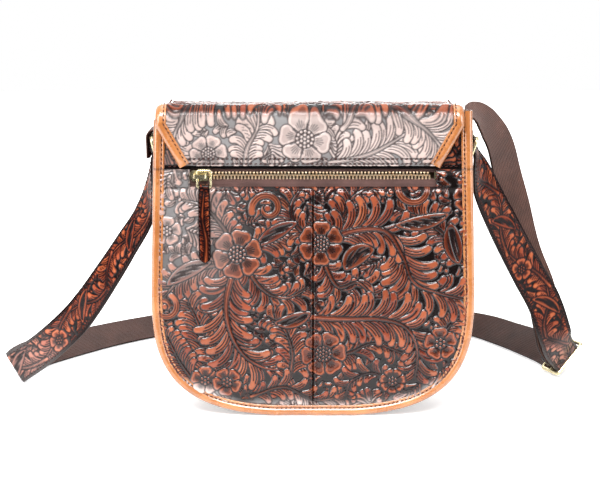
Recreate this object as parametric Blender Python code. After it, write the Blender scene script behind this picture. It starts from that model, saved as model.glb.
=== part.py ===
"""Tooled leather sling bag: a bound saddle shape with a fold-over flap, a back zip pocket and a shoulder strap.

Metres, +Z up. The back panel faces -Y. The origin is on the floor, under the middle of the back rim.
Run with: blender --background --python part.py
"""

import math

import bmesh
import bpy
import numpy as np
from mathutils import Vector

for old in list(bpy.data.objects):
    bpy.data.objects.remove(old, do_unlink=True)

mm = 0.001

# Clearances between neighbouring pieces
piece_gap = 0.3 * mm
turning_gap = 0.35 * mm
fold_gap = 0.4 * mm
cut_overrun = 5.0 * mm

# Bag outline
body_half_width = 132.5 * mm
shoulder_half_width = 127.5 * mm
body_height = 247.5 * mm
curve_height = 105.0 * mm
foot_half_width = 32.0 * mm
curve_power = 3.0
side_steps = 3
curve_steps = 15

# Panels and the rims that bind them
panel_spacing = 71.0 * mm
panel_thickness = 2.0 * mm
rim_leather = 1.0 * mm
rim_width = 9.4 * mm
rim_inner_width = 6.0 * mm
flange_thickness = 1.6 * mm
seam_lap = 8.0 * mm
lap_thickness = 0.7 * mm
yoke_depth = 40.0 * mm

# Gusset and main lining
gusset_inset = 9.0 * mm
gusset_thickness = 1.6 * mm
gusset_drop = 6.5 * mm
lining_thickness = 0.8 * mm
lining_drop = 4.5 * mm
lining_setback = 1.3 * mm

# Zip window, tapes, teeth and pocket
window_margin = 33.5 * mm
window_depth = 14.5 * mm
zip_drop = 5.5 * mm
tape_thickness = 0.7 * mm
tape_hem = 5.0 * mm
tape_end = 4.0 * mm
tooth_pitch = 2.8 * mm
tooth_width = 1.1 * mm
tooth_reach = 1.3 * mm
tooth_rail = 1.4 * mm
tooth_thickness = 3.0 * mm
stop_length = 1.0 * mm
pocket_end = 7.0 * mm
pocket_bottom = 62.0 * mm
pocket_depth = 6.6 * mm
pocket_cloth = 0.6 * mm
pocket_headroom = 4.5 * mm

# Zip slider, its ring and the leather pull
slider_half_length = 6.5 * mm
slider_plate = 1.4 * mm
slider_lip = 1.2 * mm
slider_taper = 0.93
slider_wedge_length = 3.3 * mm
slider_wedge_width = 2.4 * mm
bridge_width = 3.2 * mm
bridge_half_length = 5.2 * mm
bridge_thickness = 1.1 * mm
bridge_rise = 4.9 * mm
pull_ring_wire = 0.9 * mm
pull_ring_width = 11.0 * mm
pull_ring_height = 13.6 * mm
pull_ring_corner = 1.6 * mm
pull_ring_offset = 2.2 * mm
pull_ring_drop = 4.6 * mm
pull_leather = 1.2 * mm
pull_width = 9.5 * mm
pull_loop_width = 8.4 * mm
pull_length = 61.5 * mm
pull_tip_length = 4.0 * mm

# Flap: sewn across the back, over the top, down the front
flap_side_gap = 4.3 * mm
flap_sewn_setback = 17.7 * mm
flap_shift = -2.5 * mm
flap_back_rise = 3.0 * mm
flap_taper_height = 32.0 * mm
flap_front_bottom = 55.0 * mm
flap_curve_height = 92.0 * mm
flap_foot_half_width = 36.0 * mm
flap_leather = 1.8 * mm
flap_lining = 0.7 * mm
flap_rim_width = 9.0 * mm
flap_rim_inner_width = 5.0 * mm
flap_fold_radius = 3.0 * mm
flap_headroom = 2.9 * mm
flap_back_tuck = 0.7 * mm
fold_steps = 6

# Magnetic snap
snap_height = 96.0 * mm
snap_radius = 9.0 * mm
snap_plate = 1.1 * mm
snap_stud_radius = 2.2 * mm
snap_socket_radius = 3.4 * mm
snap_stud_length = 0.8 * mm

# Strap rings and the leather loops that hold them
ring_wire = 1.75 * mm
ring_half_width = 18.0 * mm
ring_reach = 19.5 * mm
ring_corner = 3.2 * mm
ring_bar_drop = 36.5 * mm
ring_bar_standoff = 6.8 * mm
left_ring_lean = math.radians(13.0)
right_ring_lean = math.radians(19.5)
chape_width = 24.0 * mm
chape_leather = 1.2 * mm
chape_length = 18.0 * mm
chape_drop = 13.0 * mm

# Shoulder strap: leather outside, webbing inside
strap_width = 30.0 * mm
strap_leather = 1.4 * mm
strap_webbing = 0.9 * mm
strap_spacing = 9.0 * mm
strap_floor_gap = 0.4 * mm
strap_tail_drop = 17.0 * mm
strap_slack = 1.0 * mm
strap_spread = 257.0 * mm
strap_reach = 262.0 * mm
strap_arc_steps = 6

# Tri-glide slider on the strap
glide_wire = 1.7 * mm
glide_half_width = 17.5 * mm
glide_corner = 2.4 * mm
glide_room = 2.0 * mm
glide_bar_inset = 0.02 * mm
glide_spread_inset = 31.0 * mm
glide_heading = math.radians(-61.9)
glide_lean = math.radians(46.0)
glide_forward_share = 0.34

# Places worked out from the sizes above
yoke_seam_height = body_height - yoke_depth
gusset_height = body_height - gusset_drop
lining_height = body_height - lining_drop
window_bottom = yoke_seam_height - window_depth
zip_height = yoke_seam_height - zip_drop
window_half_width = body_half_width - window_margin
tape_half_length = window_half_width + tape_end
pocket_half_width = window_half_width + pocket_end
flap_half_width = shoulder_half_width - flap_side_gap
flap_sewn_half_width = flap_half_width - flap_sewn_setback
flap_back_bottom = yoke_seam_height + flap_back_rise
ring_bar_height = body_height - ring_bar_drop
chape_top = ring_bar_height - chape_drop
chape_bottom = chape_top - chape_length
panel_face = panel_spacing / 2
panel_back = panel_face - panel_thickness
rim_face = panel_face + piece_gap + rim_leather
flange_face = panel_back - piece_gap
flange_back = flange_face - flange_thickness
rim_back = flange_back - piece_gap - rim_leather
rim_depth = rim_face - rim_back
middle_y = (rim_face + rim_back) / 2
panel_inset = rim_leather + piece_gap
side_rise = body_height - curve_height
tape_face = panel_back - piece_gap
tape_back = tape_face - tape_thickness
tooth_face = (tape_face + tape_back) / 2 + tooth_thickness / 2
tooth_back = tooth_face - tooth_thickness
rail_edge = tooth_reach + piece_gap + tooth_rail
pocket_face = tape_back - turning_gap
pocket_back = pocket_face - pocket_depth
lining_back_face = pocket_back - piece_gap
lining_front_face = flange_face - lining_setback
lining_inset = gusset_inset + gusset_thickness + piece_gap
slider_x = -(window_half_width - piece_gap - stop_length - turning_gap - slider_half_length)
flap_layers = 2 * rim_leather + flap_lining + flap_leather + 3 * piece_gap
flap_back_face = panel_face - flap_back_tuck
flap_top_face = body_height + flap_headroom
flap_front_face = rim_face + piece_gap
lining_layer = rim_leather + piece_gap
leather_layer = lining_layer + flap_lining + piece_gap
cover_layer = flap_layers - rim_leather
strap_thickness = strap_leather + piece_gap + strap_webbing
strap_half = strap_thickness / 2

# Finishes
finishes = {}


def finish(name, colour, roughness, metallic=0.0):
    """One Principled material, shared by the pieces of one kind."""
    material = bpy.data.materials.new(name)
    material.use_nodes = True
    shader = material.node_tree.nodes["Principled BSDF"]
    shader.inputs["Base Color"].default_value = (*colour, 1.0)
    shader.inputs["Roughness"].default_value = roughness
    shader.inputs["Metallic"].default_value = metallic
    material.diffuse_color = (*colour, 1.0)
    finishes[name] = material


finish("tooled_leather", (0.16, 0.06, 0.035), 0.3)
finish("tan_leather", (0.55, 0.25, 0.1), 0.35)
finish("gusset_leather", (0.1, 0.045, 0.03), 0.4)
finish("webbing", (0.09, 0.045, 0.03), 0.8)
finish("zip_tape", (0.12, 0.06, 0.05), 0.8)
finish("lining_cloth", (0.2, 0.14, 0.1), 0.9)
finish("antique_brass", (0.55, 0.42, 0.2), 0.3, 1.0)


# Carriers: an empty for the bag, and one on each joint's axis
def carrier(name, place, parent=None):
    """An empty at a place in the bag's frame, under another empty."""
    empty = bpy.data.objects.new(name, None)
    bpy.context.scene.collection.objects.link(empty)
    empty.parent = parent
    origin = Vector(parent["place"]) if parent else Vector((0, -middle_y, 0))
    empty.location = Vector(place) - origin
    empty["place"] = tuple(place)
    return empty


bag = carrier("bag", (0, 0, 0))


def add_solid(name, mesh, material, holder=bag):
    """Links a mesh, given in the bag's frame, under its carrier."""
    mesh.name = name
    shift = Vector(holder["place"])
    for vertex in mesh.vertices:
        vertex.co -= shift
    solid = bpy.data.objects.new(name, mesh)
    solid.parent = holder
    mesh.materials.append(finishes[material])
    bpy.context.scene.collection.objects.link(solid)
    return solid


def mesh_of(rings, closed=False, split=()):
    """Skins a row of rings of points: quads between neighbours, and a cap on each open end.

    A side named in split is cut into triangles: True for one diagonal, False for the other.
    """
    split = dict(split)
    shape = bmesh.new()
    made = [[shape.verts.new(point) for point in ring] for ring in rings]
    count = len(made[0])
    pairs = list(zip(made, made[1:]))
    if closed:
        pairs.append((made[-1], made[0]))
    for first, second in pairs:
        for i in range(count):
            j = (i + 1) % count
            if i not in split:
                shape.faces.new((first[i], first[j], second[j], second[i]))
            elif split[i]:
                shape.faces.new((first[i], first[j], second[j]))
                shape.faces.new((first[i], second[j], second[i]))
            else:
                shape.faces.new((first[i], first[j], second[i]))
                shape.faces.new((first[j], second[j], second[i]))
    if not closed:
        shape.faces.new(made[0][::-1])
        shape.faces.new(made[-1])
    bmesh.ops.recalc_face_normals(shape, faces=shape.faces)
    mesh = bpy.data.meshes.new("shape")
    shape.to_mesh(mesh)
    shape.free()
    return mesh


def plate(outline, near, far):
    """An outline of (x, z) points, extruded along Y."""
    return mesh_of([[(x, near, z) for x, z in outline], [(x, far, z) for x, z in outline]])


def box(low, high):
    x0, y0, z0 = low
    x1, y1, z1 = high
    return plate([(x0, z0), (x1, z0), (x1, z1), (x0, z1)], y0, y1)


def turned(profile, centre, axis, steps=20):
    """A profile of (radius, height) points turned about an axis through the centre."""
    axis = Vector(axis).normalized()
    side = axis.orthogonal().normalized()
    up = axis.cross(side)
    rings = []
    for k in range(steps):
        angle = 2 * math.pi * k / steps
        spoke = side * math.cos(angle) + up * math.sin(angle)
        rings.append([Vector(centre) + spoke * radius + axis * height for radius, height in profile])
    return mesh_of(rings, closed=True)


def rod(start, end, radius, steps=12):
    """A round bar between two points."""
    start = Vector(start)
    axis = (Vector(end) - start).normalized()
    side = axis.orthogonal().normalized()
    up = axis.cross(side)
    rings = []
    for place in (start, Vector(end)):
        spokes = [2 * math.pi * k / steps for k in range(steps)]
        rings.append([place + (side * math.cos(a) + up * math.sin(a)) * radius for a in spokes])
    return mesh_of(rings)


def helper(mesh, holder=bag):
    """A hidden mesh for a Boolean."""
    solid = add_solid("helper", mesh, "antique_brass", holder)
    solid.hide_render = True
    solid.display_type = "WIRE"
    solid.name = "helper_" + str(len(bpy.data.objects))
    return solid


def combine(solid, mesh, operation, holder=bag):
    """Cuts a mesh from a solid, or joins it on."""
    modifier = solid.modifiers.new(operation.lower(), "BOOLEAN")
    modifier.operation = operation
    modifier.solver = "EXACT"
    modifier.object = helper(mesh, holder)


def smooth(solid, angle=math.radians(35.0)):
    solid.data.shade_smooth()
    solid.data.set_sharp_from_angle(angle=angle)


# The bag's outline, and what follows it
def curve_drop(x):
    """Height of the rounded bottom at x, before it is set on its foot."""
    return curve_height * (1 - (1 - (abs(x) / body_half_width) ** curve_power) ** (1 / curve_power))


foot_drop = curve_drop(foot_half_width)


def side_x(height):
    """Half-width of the straight side, which draws in towards the top."""
    share = (height - curve_height) / side_rise
    return body_half_width + (shoulder_half_width - body_half_width) * share


def rim_stations(top):
    """Points and inward normals of the left half of the outline, from the top to the foot."""
    points = []
    for k in range(side_steps):
        height = top + (curve_height - foot_drop - top) * k / side_steps
        points.append((-side_x(height + foot_drop), height))
    last = math.acos((foot_half_width / body_half_width) ** (curve_power / 2))
    for k in range(curve_steps + 1):
        angle = last * k / curve_steps
        x = body_half_width * math.cos(angle) ** (2 / curve_power)
        points.append((-x, curve_drop(x) - foot_drop))
    points = np.array(points)
    along = np.gradient(points, axis=0)
    along /= np.linalg.norm(along, axis=1)[:, None]
    normals = np.stack([-along[:, 1], along[:, 0]], axis=1)
    normals[0] = (1, 0)
    return points, normals


def rim_points(inset, top):
    """The whole outline, drawn in by an inset, from the left top round to the right top."""
    points, normals = rim_stations(top)
    left = points + normals * inset
    right = left[::-1] * (-1, 1)
    return [tuple(p) for p in left], [tuple(p) for p in right]


def rim_sweep(profile, top):
    """A profile of (inset, y) points carried round the outline."""
    points, normals = rim_stations(top)
    rings = []
    for mirror in (1, -1):
        order = slice(None) if mirror == 1 else slice(None, None, -1)
        for point, normal in zip(points[order], normals[order]):
            ring = []
            for inset, y in profile:
                place = point + normal * inset
                ring.append((mirror * place[0], y, place[1]))
            rings.append(ring)
    return mesh_of(rings)


def make_rim(name, side):
    """A tan strip folded over the edge of a panel and the gusset's flange."""
    profile = [
        (0, rim_back),
        (rim_inner_width, rim_back),
        (rim_inner_width, rim_back + rim_leather),
        (rim_leather, rim_back + rim_leather),
        (rim_leather, rim_face - rim_leather),
        (rim_width, rim_face - rim_leather),
        (rim_width, rim_face),
        (0, rim_face),
    ]
    mesh = rim_sweep([(inset, side * y) for inset, y in profile], body_height)
    add_solid(name, mesh, "tan_leather")


def make_gusset():
    """The band round the sides and bottom, with a flange turned out at each edge."""
    wall = gusset_inset + gusset_thickness
    half = [(panel_inset, flange_face), (panel_inset, flange_back), (gusset_inset, flange_back)]
    profile = half + [(inset, -y) for inset, y in half[::-1]] + [(wall, -flange_face), (wall, flange_face)]
    add_solid("gusset", rim_sweep(profile, gusset_height), "gusset_leather")


def make_back_panels():
    """Left and right lower panels, lapped at the centre seam, and the yoke over the zip."""
    left, right = rim_points(panel_inset, yoke_seam_height - piece_gap)
    floor_edge = left[-1][1]
    seam_x = -piece_gap / 2
    outline = left + [
        (seam_x, floor_edge),
        (seam_x, window_bottom),
        (-window_half_width, window_bottom),
        (-window_half_width, yoke_seam_height - piece_gap),
    ]
    add_solid("back_panel_left", plate(outline, -panel_face, -panel_back), "tooled_leather")
    mirrored = [(-x, z) for x, z in outline]
    panel = add_solid("back_panel_right", plate(mirrored, -panel_face, -panel_back), "tooled_leather")
    lap_face = panel_back - piece_gap
    tongue = [
        (seam_lap, -panel_face + panel_thickness / 2),
        (seam_lap, -lap_face + lap_thickness),
        (-seam_lap, -lap_face + lap_thickness),
        (-seam_lap, -lap_face),
        (piece_gap / 2 + panel_thickness, -lap_face),
        (piece_gap / 2 + panel_thickness, -panel_face + panel_thickness / 2),
    ]
    low = floor_edge + rim_width
    high = zip_height - rail_edge - piece_gap - 2 * tape_hem - piece_gap
    lap = mesh_of([[(x, y, z) for x, y in tongue] for z in (low, high)])
    combine(panel, lap, "UNION")
    top_left, top_right = rim_points(panel_inset, body_height)
    top_left = [p for p in top_left if p[1] > yoke_seam_height]
    low_x = left[0][0]
    yoke = top_left + [(low_x, yoke_seam_height), (-low_x, yoke_seam_height)]
    yoke += [(-x, z) for x, z in top_left[::-1]]
    add_solid("back_yoke", plate(yoke, -panel_face, -panel_back), "tooled_leather")


def make_front_panel():
    left, right = rim_points(panel_inset, body_height)
    add_solid("front_panel", plate(left + right, panel_back, panel_face), "tooled_leather")


def make_linings():
    """The cloth pouch of the main compartment, and the flat pouch behind the zip."""
    left, right = rim_points(lining_inset, lining_height)
    pouch = add_solid(
        "main_lining", plate(left + right, -lining_back_face, lining_front_face), "lining_cloth"
    )
    left, right = rim_points(lining_inset + lining_thickness, lining_height + cut_overrun)
    hollow = plate(
        left + right, -lining_back_face + lining_thickness, lining_front_face - lining_thickness
    )
    combine(pouch, hollow, "DIFFERENCE")

    top = zip_height + rail_edge + pocket_headroom + pocket_cloth
    pocket = add_solid(
        "zip_pocket_lining",
        box((-pocket_half_width, -pocket_face, pocket_bottom), (pocket_half_width, -pocket_back, top)),
        "lining_cloth",
    )
    inside = pocket_half_width - pocket_cloth
    room = box(
        (-inside, -pocket_face + pocket_cloth, pocket_bottom + pocket_cloth),
        (inside, -pocket_back - pocket_cloth, top - pocket_cloth),
    )
    combine(pocket, room, "DIFFERENCE")
    mouth = box(
        (-window_half_width, -pocket_face - cut_overrun, window_bottom),
        (window_half_width, -pocket_face + 2 * pocket_cloth, top - 2 * pocket_cloth),
    )
    combine(pocket, mouth, "DIFFERENCE")


# The zip
def comb_outline(start, end, side, phase):
    """A row of metal teeth on one rail, as one outline of (x, z) points."""
    root = zip_height + side * (tooth_reach + piece_gap)
    tip = zip_height - side * tooth_reach
    back = zip_height + side * rail_edge
    outline = [(start, back), (start, root)]
    x = start + tooth_width / 2 + phase * tooth_pitch
    while x + tooth_width / 2 < end - tooth_width / 2:
        near = x - tooth_width / 2
        far = x + tooth_width / 2
        outline += [(near, root), (near, tip), (far, tip), (far, root)]
        x += tooth_pitch
    outline += [(end, root), (end, back)]
    return outline


def make_zip():
    start = slider_x - slider_half_length + slider_wedge_length + piece_gap
    end = window_half_width - 2 * piece_gap - stop_length
    for name, side, phase in (("upper", 1, 0.25), ("lower", -1, 0.75)):
        outline = comb_outline(start, end, side, phase)
        add_solid("zip_teeth_" + name, plate(outline, -tooth_face, -tooth_back), "antique_brass")
        edge = zip_height + side * (rail_edge + piece_gap)
        far_edge = zip_height + side * (rail_edge + piece_gap + 2 * tape_hem)
        low, high = sorted((edge, far_edge))
        tape = box((-tape_half_length, -tape_face, low), (tape_half_length, -tape_back, high))
        add_solid("zip_tape_" + name, tape, "zip_tape")
    for name, x in (("start", -window_half_width + piece_gap), ("end", end + piece_gap)):
        block = box((x, -tooth_face, zip_height - rail_edge), (x + stop_length, -tooth_back, zip_height + rail_edge))
        add_solid("zip_stop_" + name, block, "antique_brass")


def slider_shell(side):
    """One plate of the zip slider with its two lips, lofted from the wide nose to the narrower heel."""
    face = tooth_face + turning_gap if side == 1 else tooth_back - turning_gap
    lip = tape_face + turning_gap if side == 1 else tape_back - turning_gap
    outer = face + side * slider_plate
    half = rail_edge + piece_gap + slider_lip
    mouth = half - slider_lip
    profile = [(-half, outer), (half, outer), (half, lip), (mouth, lip), (mouth, face)]
    profile += [(-mouth, face), (-mouth, lip), (-half, lip)]
    rings = []
    for x, width in ((-1.0, 1.0), (-0.2, 1.0), (1.0, slider_taper)):
        ring = [(slider_x + x * slider_half_length, -y, zip_height + z * width) for z, y in profile]
        rings.append(ring)
    return mesh_of(rings)


def make_slider(holder):
    """The zip slider: two plates, the wedge between them and the bridge for the ring."""
    slider = add_solid("zip_slider", slider_shell(1), "antique_brass", holder)
    combine(slider, slider_shell(-1), "UNION", holder)
    nose = slider_x - slider_half_length
    outer = tooth_face + turning_gap + slider_plate / 2
    inner = tooth_back - turning_gap - slider_plate / 2
    wedge = box(
        (nose, -outer, zip_height - slider_wedge_width / 2),
        (nose + slider_wedge_length, -inner, zip_height + slider_wedge_width / 2),
    )
    combine(slider, wedge, "UNION", holder)
    plate_face = tooth_face + turning_gap + slider_plate
    foot = plate_face - slider_plate / 2
    crown = plate_face + bridge_rise
    arch = []
    for reach, top in ((bridge_half_length, crown), (bridge_half_length - bridge_thickness, crown - bridge_thickness)):
        shoulder = reach - bridge_thickness
        side = [(-reach, foot), (-reach, top - bridge_thickness), (-shoulder, top)]
        side += [(shoulder, top), (reach, top - bridge_thickness), (reach, foot)]
        arch += side if not arch else side[::-1]
    low = zip_height - bridge_width / 2
    rings = [[(slider_x + x, -y, z) for x, y in arch] for z in (low, low + bridge_width)]
    combine(slider, mesh_of(rings), "UNION", holder)


def loop_points(half_width, half_height, corner, corner_steps=4):
    """A rectangle with rounded corners, as (a, b) points round its middle."""
    points = []
    for turn, (sa, sb) in enumerate(((1, 1), (-1, 1), (-1, -1), (1, -1))):
        for k in range(corner_steps + 1):
            angle = math.pi / 2 * (turn + k / corner_steps)
            a = sa * (half_width - corner) + corner * math.cos(angle)
            b = sb * (half_height - corner) + corner * math.sin(angle)
            points.append((a, b))
    return points


def wire_loop(points, centre, across, along, radius, sides=8):
    """A closed wire through flat points, drawn on two directions about a centre."""
    across = Vector(across).normalized()
    along = Vector(along).normalized()
    normal = across.cross(along)
    places = [Vector(centre) + across * a + along * b for a, b in points]
    rings = []
    for i, place in enumerate(places):
        heading = (places[(i + 1) % len(places)] - places[i - 1]).normalized()
        side = heading.cross(normal)
        spokes = [2 * math.pi * (k + 0.5) / sides for k in range(sides)]
        rings.append([place + (side * math.cos(a) + normal * math.sin(a)) * radius for a in spokes])
    return mesh_of(rings, closed=True)


ring_leg_x = slider_x - pull_ring_offset
ring_leg_y = tooth_face + turning_gap + slider_plate + (bridge_rise - bridge_thickness) / 2
pull_bar_z = zip_height + pull_ring_drop - pull_ring_height / 2 - pull_ring_height / 2
pull_bar_x = ring_leg_x + pull_ring_width / 2


def make_pull(ring_holder, pull_holder):
    """The wire ring through the bridge, and the doubled leather pull sewn round its lower bar."""
    half_width = pull_ring_width / 2
    half_height = pull_ring_height / 2
    points = loop_points(half_width, half_height, pull_ring_corner, 3)
    centre = (pull_bar_x, -ring_leg_y, pull_bar_z + half_height)
    ring = add_solid(
        "zip_ring",
        wire_loop(points, centre, (1, 0, 0), (0, 0, 1), pull_ring_wire),
        "antique_brass",
        ring_holder,
    )
    smooth(ring)

    bore = pull_ring_wire + piece_gap
    wrap = bore + pull_leather
    neck = pull_bar_z - bore - pull_leather / 2
    tip = pull_bar_z - pull_length
    rings = []
    for share, width in ((0, 0.25), (0.35, 0.7), (1, 1)):
        rings.append((tip + pull_tip_length * share, pull_width / 2 * width))
    rings.append((neck - wrap, pull_width / 2))
    rings.append((neck, pull_loop_width / 2))
    near = -ring_leg_y - pull_leather
    far = -ring_leg_y + pull_leather
    blade = mesh_of(
        [
            [
                (pull_bar_x - half, near, z),
                (pull_bar_x + half, near, z),
                (pull_bar_x + half, far, z),
                (pull_bar_x - half, far, z),
            ]
            for z, half in rings
        ]
    )
    half_loop = pull_loop_width / 2
    tube = [(bore, -half_loop), (wrap, -half_loop), (wrap, half_loop), (bore, half_loop)]
    pull = add_solid(
        "zip_pull",
        turned(tube, (pull_bar_x, -ring_leg_y, pull_bar_z), (1, 0, 0), 16),
        "tooled_leather",
        pull_holder,
    )
    combine(pull, blade, "UNION", pull_holder)


# The flap, as a sheet that runs up the back, over the top and down the front
back_rise = flap_top_face - flap_fold_radius - flap_back_bottom
fold_arc = math.pi / 2 * flap_fold_radius
back_fold_s = back_rise + fold_arc
top_run = flap_back_face + flap_front_face - 2 * flap_fold_radius
front_fold_s = back_fold_s + top_run
flap_front_start = front_fold_s + fold_arc
front_drop = flap_top_face - flap_fold_radius - flap_front_bottom
flap_end_s = flap_front_start + front_drop
flap_curve_s = flap_end_s - flap_curve_height


def flap_place(x, s, layer):
    """A point of the flap: x across, s along it from the sewn edge, layer out from its inner face."""
    back_centre = -flap_back_face + flap_fold_radius
    front_centre = flap_front_face - flap_fold_radius
    level = flap_top_face - flap_fold_radius
    reach = flap_fold_radius + layer
    if s <= back_rise:
        return (x, back_centre - reach, flap_back_bottom + s)
    if s <= back_fold_s:
        angle = (s - back_rise) / flap_fold_radius
        return (x, back_centre - reach * math.cos(angle), level + reach * math.sin(angle))
    if s <= front_fold_s:
        return (x, back_centre + s - back_fold_s, level + reach)
    if s <= front_fold_s + fold_arc:
        angle = (s - front_fold_s) / flap_fold_radius
        return (x, front_centre + reach * math.sin(angle), level + reach * math.cos(angle))
    return (x, front_centre + reach, level - (s - front_fold_s - fold_arc))


def flap_half(s):
    """Half-width of the flap at s."""
    if s < flap_taper_height:
        return flap_sewn_half_width + (flap_half_width - flap_sewn_half_width) * s / flap_taper_height
    if s <= flap_curve_s:
        return flap_half_width
    share = min((s - flap_curve_s) / (flap_curve_height + flap_foot_drop), 1)
    return flap_half_width * (1 - share**curve_power) ** (1 / curve_power)


flap_foot_share = (1 - (flap_foot_half_width / flap_half_width) ** curve_power) ** (1 / curve_power)
flap_foot_drop = flap_curve_height / flap_foot_share - flap_curve_height


def flap_stations(start, end):
    """Places (x, s) of the flap's right edge between two lengths, with inward normals."""
    marks = {start, end}
    corners = (flap_taper_height, flap_curve_s)
    for fold in (back_rise, front_fold_s):
        marks |= {fold + fold_arc * k / fold_steps for k in range(fold_steps + 1)}
    marks |= set(corners)
    full = flap_curve_height / flap_foot_share
    for k in range(1, curve_steps):
        marks.add(flap_curve_s + full * math.sin(math.pi / 2 * k / curve_steps) ** (2 / curve_power))
    room = fold_gap / 2
    marks = sorted(s for s in marks if start <= s <= end)
    marks = [s for s in marks if s in (start, end) or (s - start > room and end - s > room)]
    points = np.array([(flap_half(s), s) for s in marks])
    along = np.gradient(points, axis=0)
    along /= np.linalg.norm(along, axis=1)[:, None]
    normals = np.stack([-along[:, 1], along[:, 0]], axis=1)
    straight = (points[:, 1] > flap_taper_height + room) & (points[:, 1] < flap_curve_s - room)
    normals[straight] = (-1, 0)
    return points, normals


def flap_sheet(start, end, inset, low, high):
    """A layer of the flap between two lengths and two heights above its inner face."""
    points, normals = flap_stations(start, end)
    rings = []
    for (x, s), (nx, ns) in zip(points, normals):
        half = x + nx * inset
        at = s + ns * inset
        ring = [(-half, low), (half, low), (half, high), (-half, high)]
        rings.append([flap_place(flap_shift + px, at, layer) for px, layer in ring])
    return mesh_of(rings)


def flap_rim(start, end, profile, mirrors):
    """A profile of (inset, layer) points carried along the flap's edge, on the sides given."""
    points, normals = flap_stations(start, end)
    rings = []
    for mirror in mirrors:
        order = slice(None) if mirror == mirrors[0] else slice(None, None, -1)
        for point, normal in zip(points[order], normals[order]):
            ring = []
            for inset, layer in profile:
                x, s = point + normal * inset
                ring.append(flap_place(flap_shift + mirror * x, s, layer))
            rings.append(ring)
    return mesh_of(rings)


def make_flap(top_holder, front_holder):
    inset = rim_leather + piece_gap
    half_gap = fold_gap / 2
    spans = (
        ("back", 0, back_fold_s - half_gap, bag),
        ("top", back_fold_s + half_gap, front_fold_s - half_gap, top_holder),
        ("fold", front_fold_s + half_gap, flap_front_start - half_gap, front_holder),
        ("front", flap_front_start + half_gap, flap_end_s, front_holder),
    )
    folded = [
        (0, 0),
        (flap_rim_inner_width, 0),
        (flap_rim_inner_width, rim_leather),
        (rim_leather, rim_leather),
        (rim_leather, cover_layer),
        (flap_rim_width, cover_layer),
        (flap_rim_width, flap_layers),
        (0, flap_layers),
    ]
    lapped = [(0, leather_layer), (rim_leather, leather_layer)] + folded[4:]
    for name, start, end, holder in spans:
        lining_inset_here = flap_rim_width + inset if name == "back" else inset
        layer = leather_layer
        sheet = flap_sheet(start, end, inset, layer, layer + flap_leather)
        add_solid("flap_" + name, sheet, "tooled_leather", holder)
        layer = lining_layer
        sheet = flap_sheet(start, end, lining_inset_here, layer, layer + flap_lining)
        add_solid("flap_lining_" + name, sheet, "lining_cloth", holder)
        if name == "front":
            add_solid("flap_rim_front", flap_rim(start, end, folded, (1, -1)), "tan_leather", holder)
            continue
        profile = lapped if name == "back" else folded
        for side, mirror in (("right", 1), ("left", -1)):
            mesh = flap_rim(start, end, profile, (mirror,))
            add_solid("flap_rim_" + name + "_" + side, mesh, "tan_leather", holder)


def make_snap(front_holder):
    """The two halves of the magnetic snap: a socket on the front panel, a stud under the flap."""
    face = panel_face + piece_gap
    socket = [(snap_socket_radius, 0), (snap_radius, 0), (snap_radius, snap_plate), (snap_socket_radius, snap_plate)]
    centre = (flap_shift, face, snap_height)
    smooth(add_solid("snap_socket", turned(socket, centre, (0, 1, 0), 24), "antique_brass"))
    back = flap_front_face + lining_layer - piece_gap
    front = face + snap_plate + piece_gap
    stud = add_solid(
        "snap_stud",
        rod((flap_shift, front, snap_height), (flap_shift, back, snap_height), snap_radius, 24),
        "antique_brass",
        front_holder,
    )
    tip = rod(
        (flap_shift, front - snap_stud_length, snap_height),
        (flap_shift, back - piece_gap, snap_height),
        snap_stud_radius,
        16,
    )
    combine(stud, tip, "UNION", front_holder)


# Strap rings
ring_bar_x = side_x(ring_bar_height) - gusset_inset + ring_bar_standoff


def ring_direction(side):
    """The way a ring stands up from its bar, leaning out from the bag."""
    lean = left_ring_lean if side < 0 else right_ring_lean
    return Vector((side * math.sin(lean), 0, math.cos(lean)))


def ring_arc(side):
    """The middle of the ring's upper wire, which carries the strap."""
    return Vector((side * ring_bar_x, 0, ring_bar_height)) + ring_direction(side) * ring_reach


def make_ring(side, holder):
    """A rectangular wire ring that turns on its bar in the leather loop."""
    name = "left" if side < 0 else "right"
    lean = ring_direction(side)
    half = ring_reach / 2
    centre = Vector((side * ring_bar_x, 0, ring_bar_height)) + Vector(lean) * half
    points = loop_points(ring_half_width, half, ring_corner)
    ring = wire_loop(points, centre, (0, 1, 0), lean, ring_wire)
    smooth(add_solid("strap_ring_" + name, ring, "antique_brass", holder))


def make_chape(side):
    """A leather strip folded round the ring's bar and sewn to the gusset."""
    name = "left" if side < 0 else "right"
    bore = ring_wire + turning_gap
    wrap = bore + chape_leather
    base = [
        (side_x(z + foot_drop) - gusset_inset + piece_gap, z) for z in (chape_bottom, chape_top)
    ]
    thick = 2 * chape_leather
    outline = [(base[0][0], chape_bottom), (base[1][0], chape_top)]
    lean = math.atan2(ring_bar_x - base[1][0], ring_bar_height - chape_top)
    for k in range(9):
        angle = math.pi - lean - math.pi * k / 8
        outline.append((ring_bar_x + wrap * math.cos(angle), ring_bar_height + wrap * math.sin(angle)))
    outline += [(base[1][0] + thick, chape_top - thick), (base[0][0] + thick, chape_bottom)]
    outline = [(side * x, z) for x, z in outline]
    half = chape_width / 2
    chape = add_solid("ring_loop_" + name, plate(outline, -half, half), "tan_leather")
    reach = half + cut_overrun
    hole = rod((side * ring_bar_x, -reach, ring_bar_height), (side * ring_bar_x, reach, ring_bar_height), bore, 16)
    combine(chape, hole, "DIFFERENCE")


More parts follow.
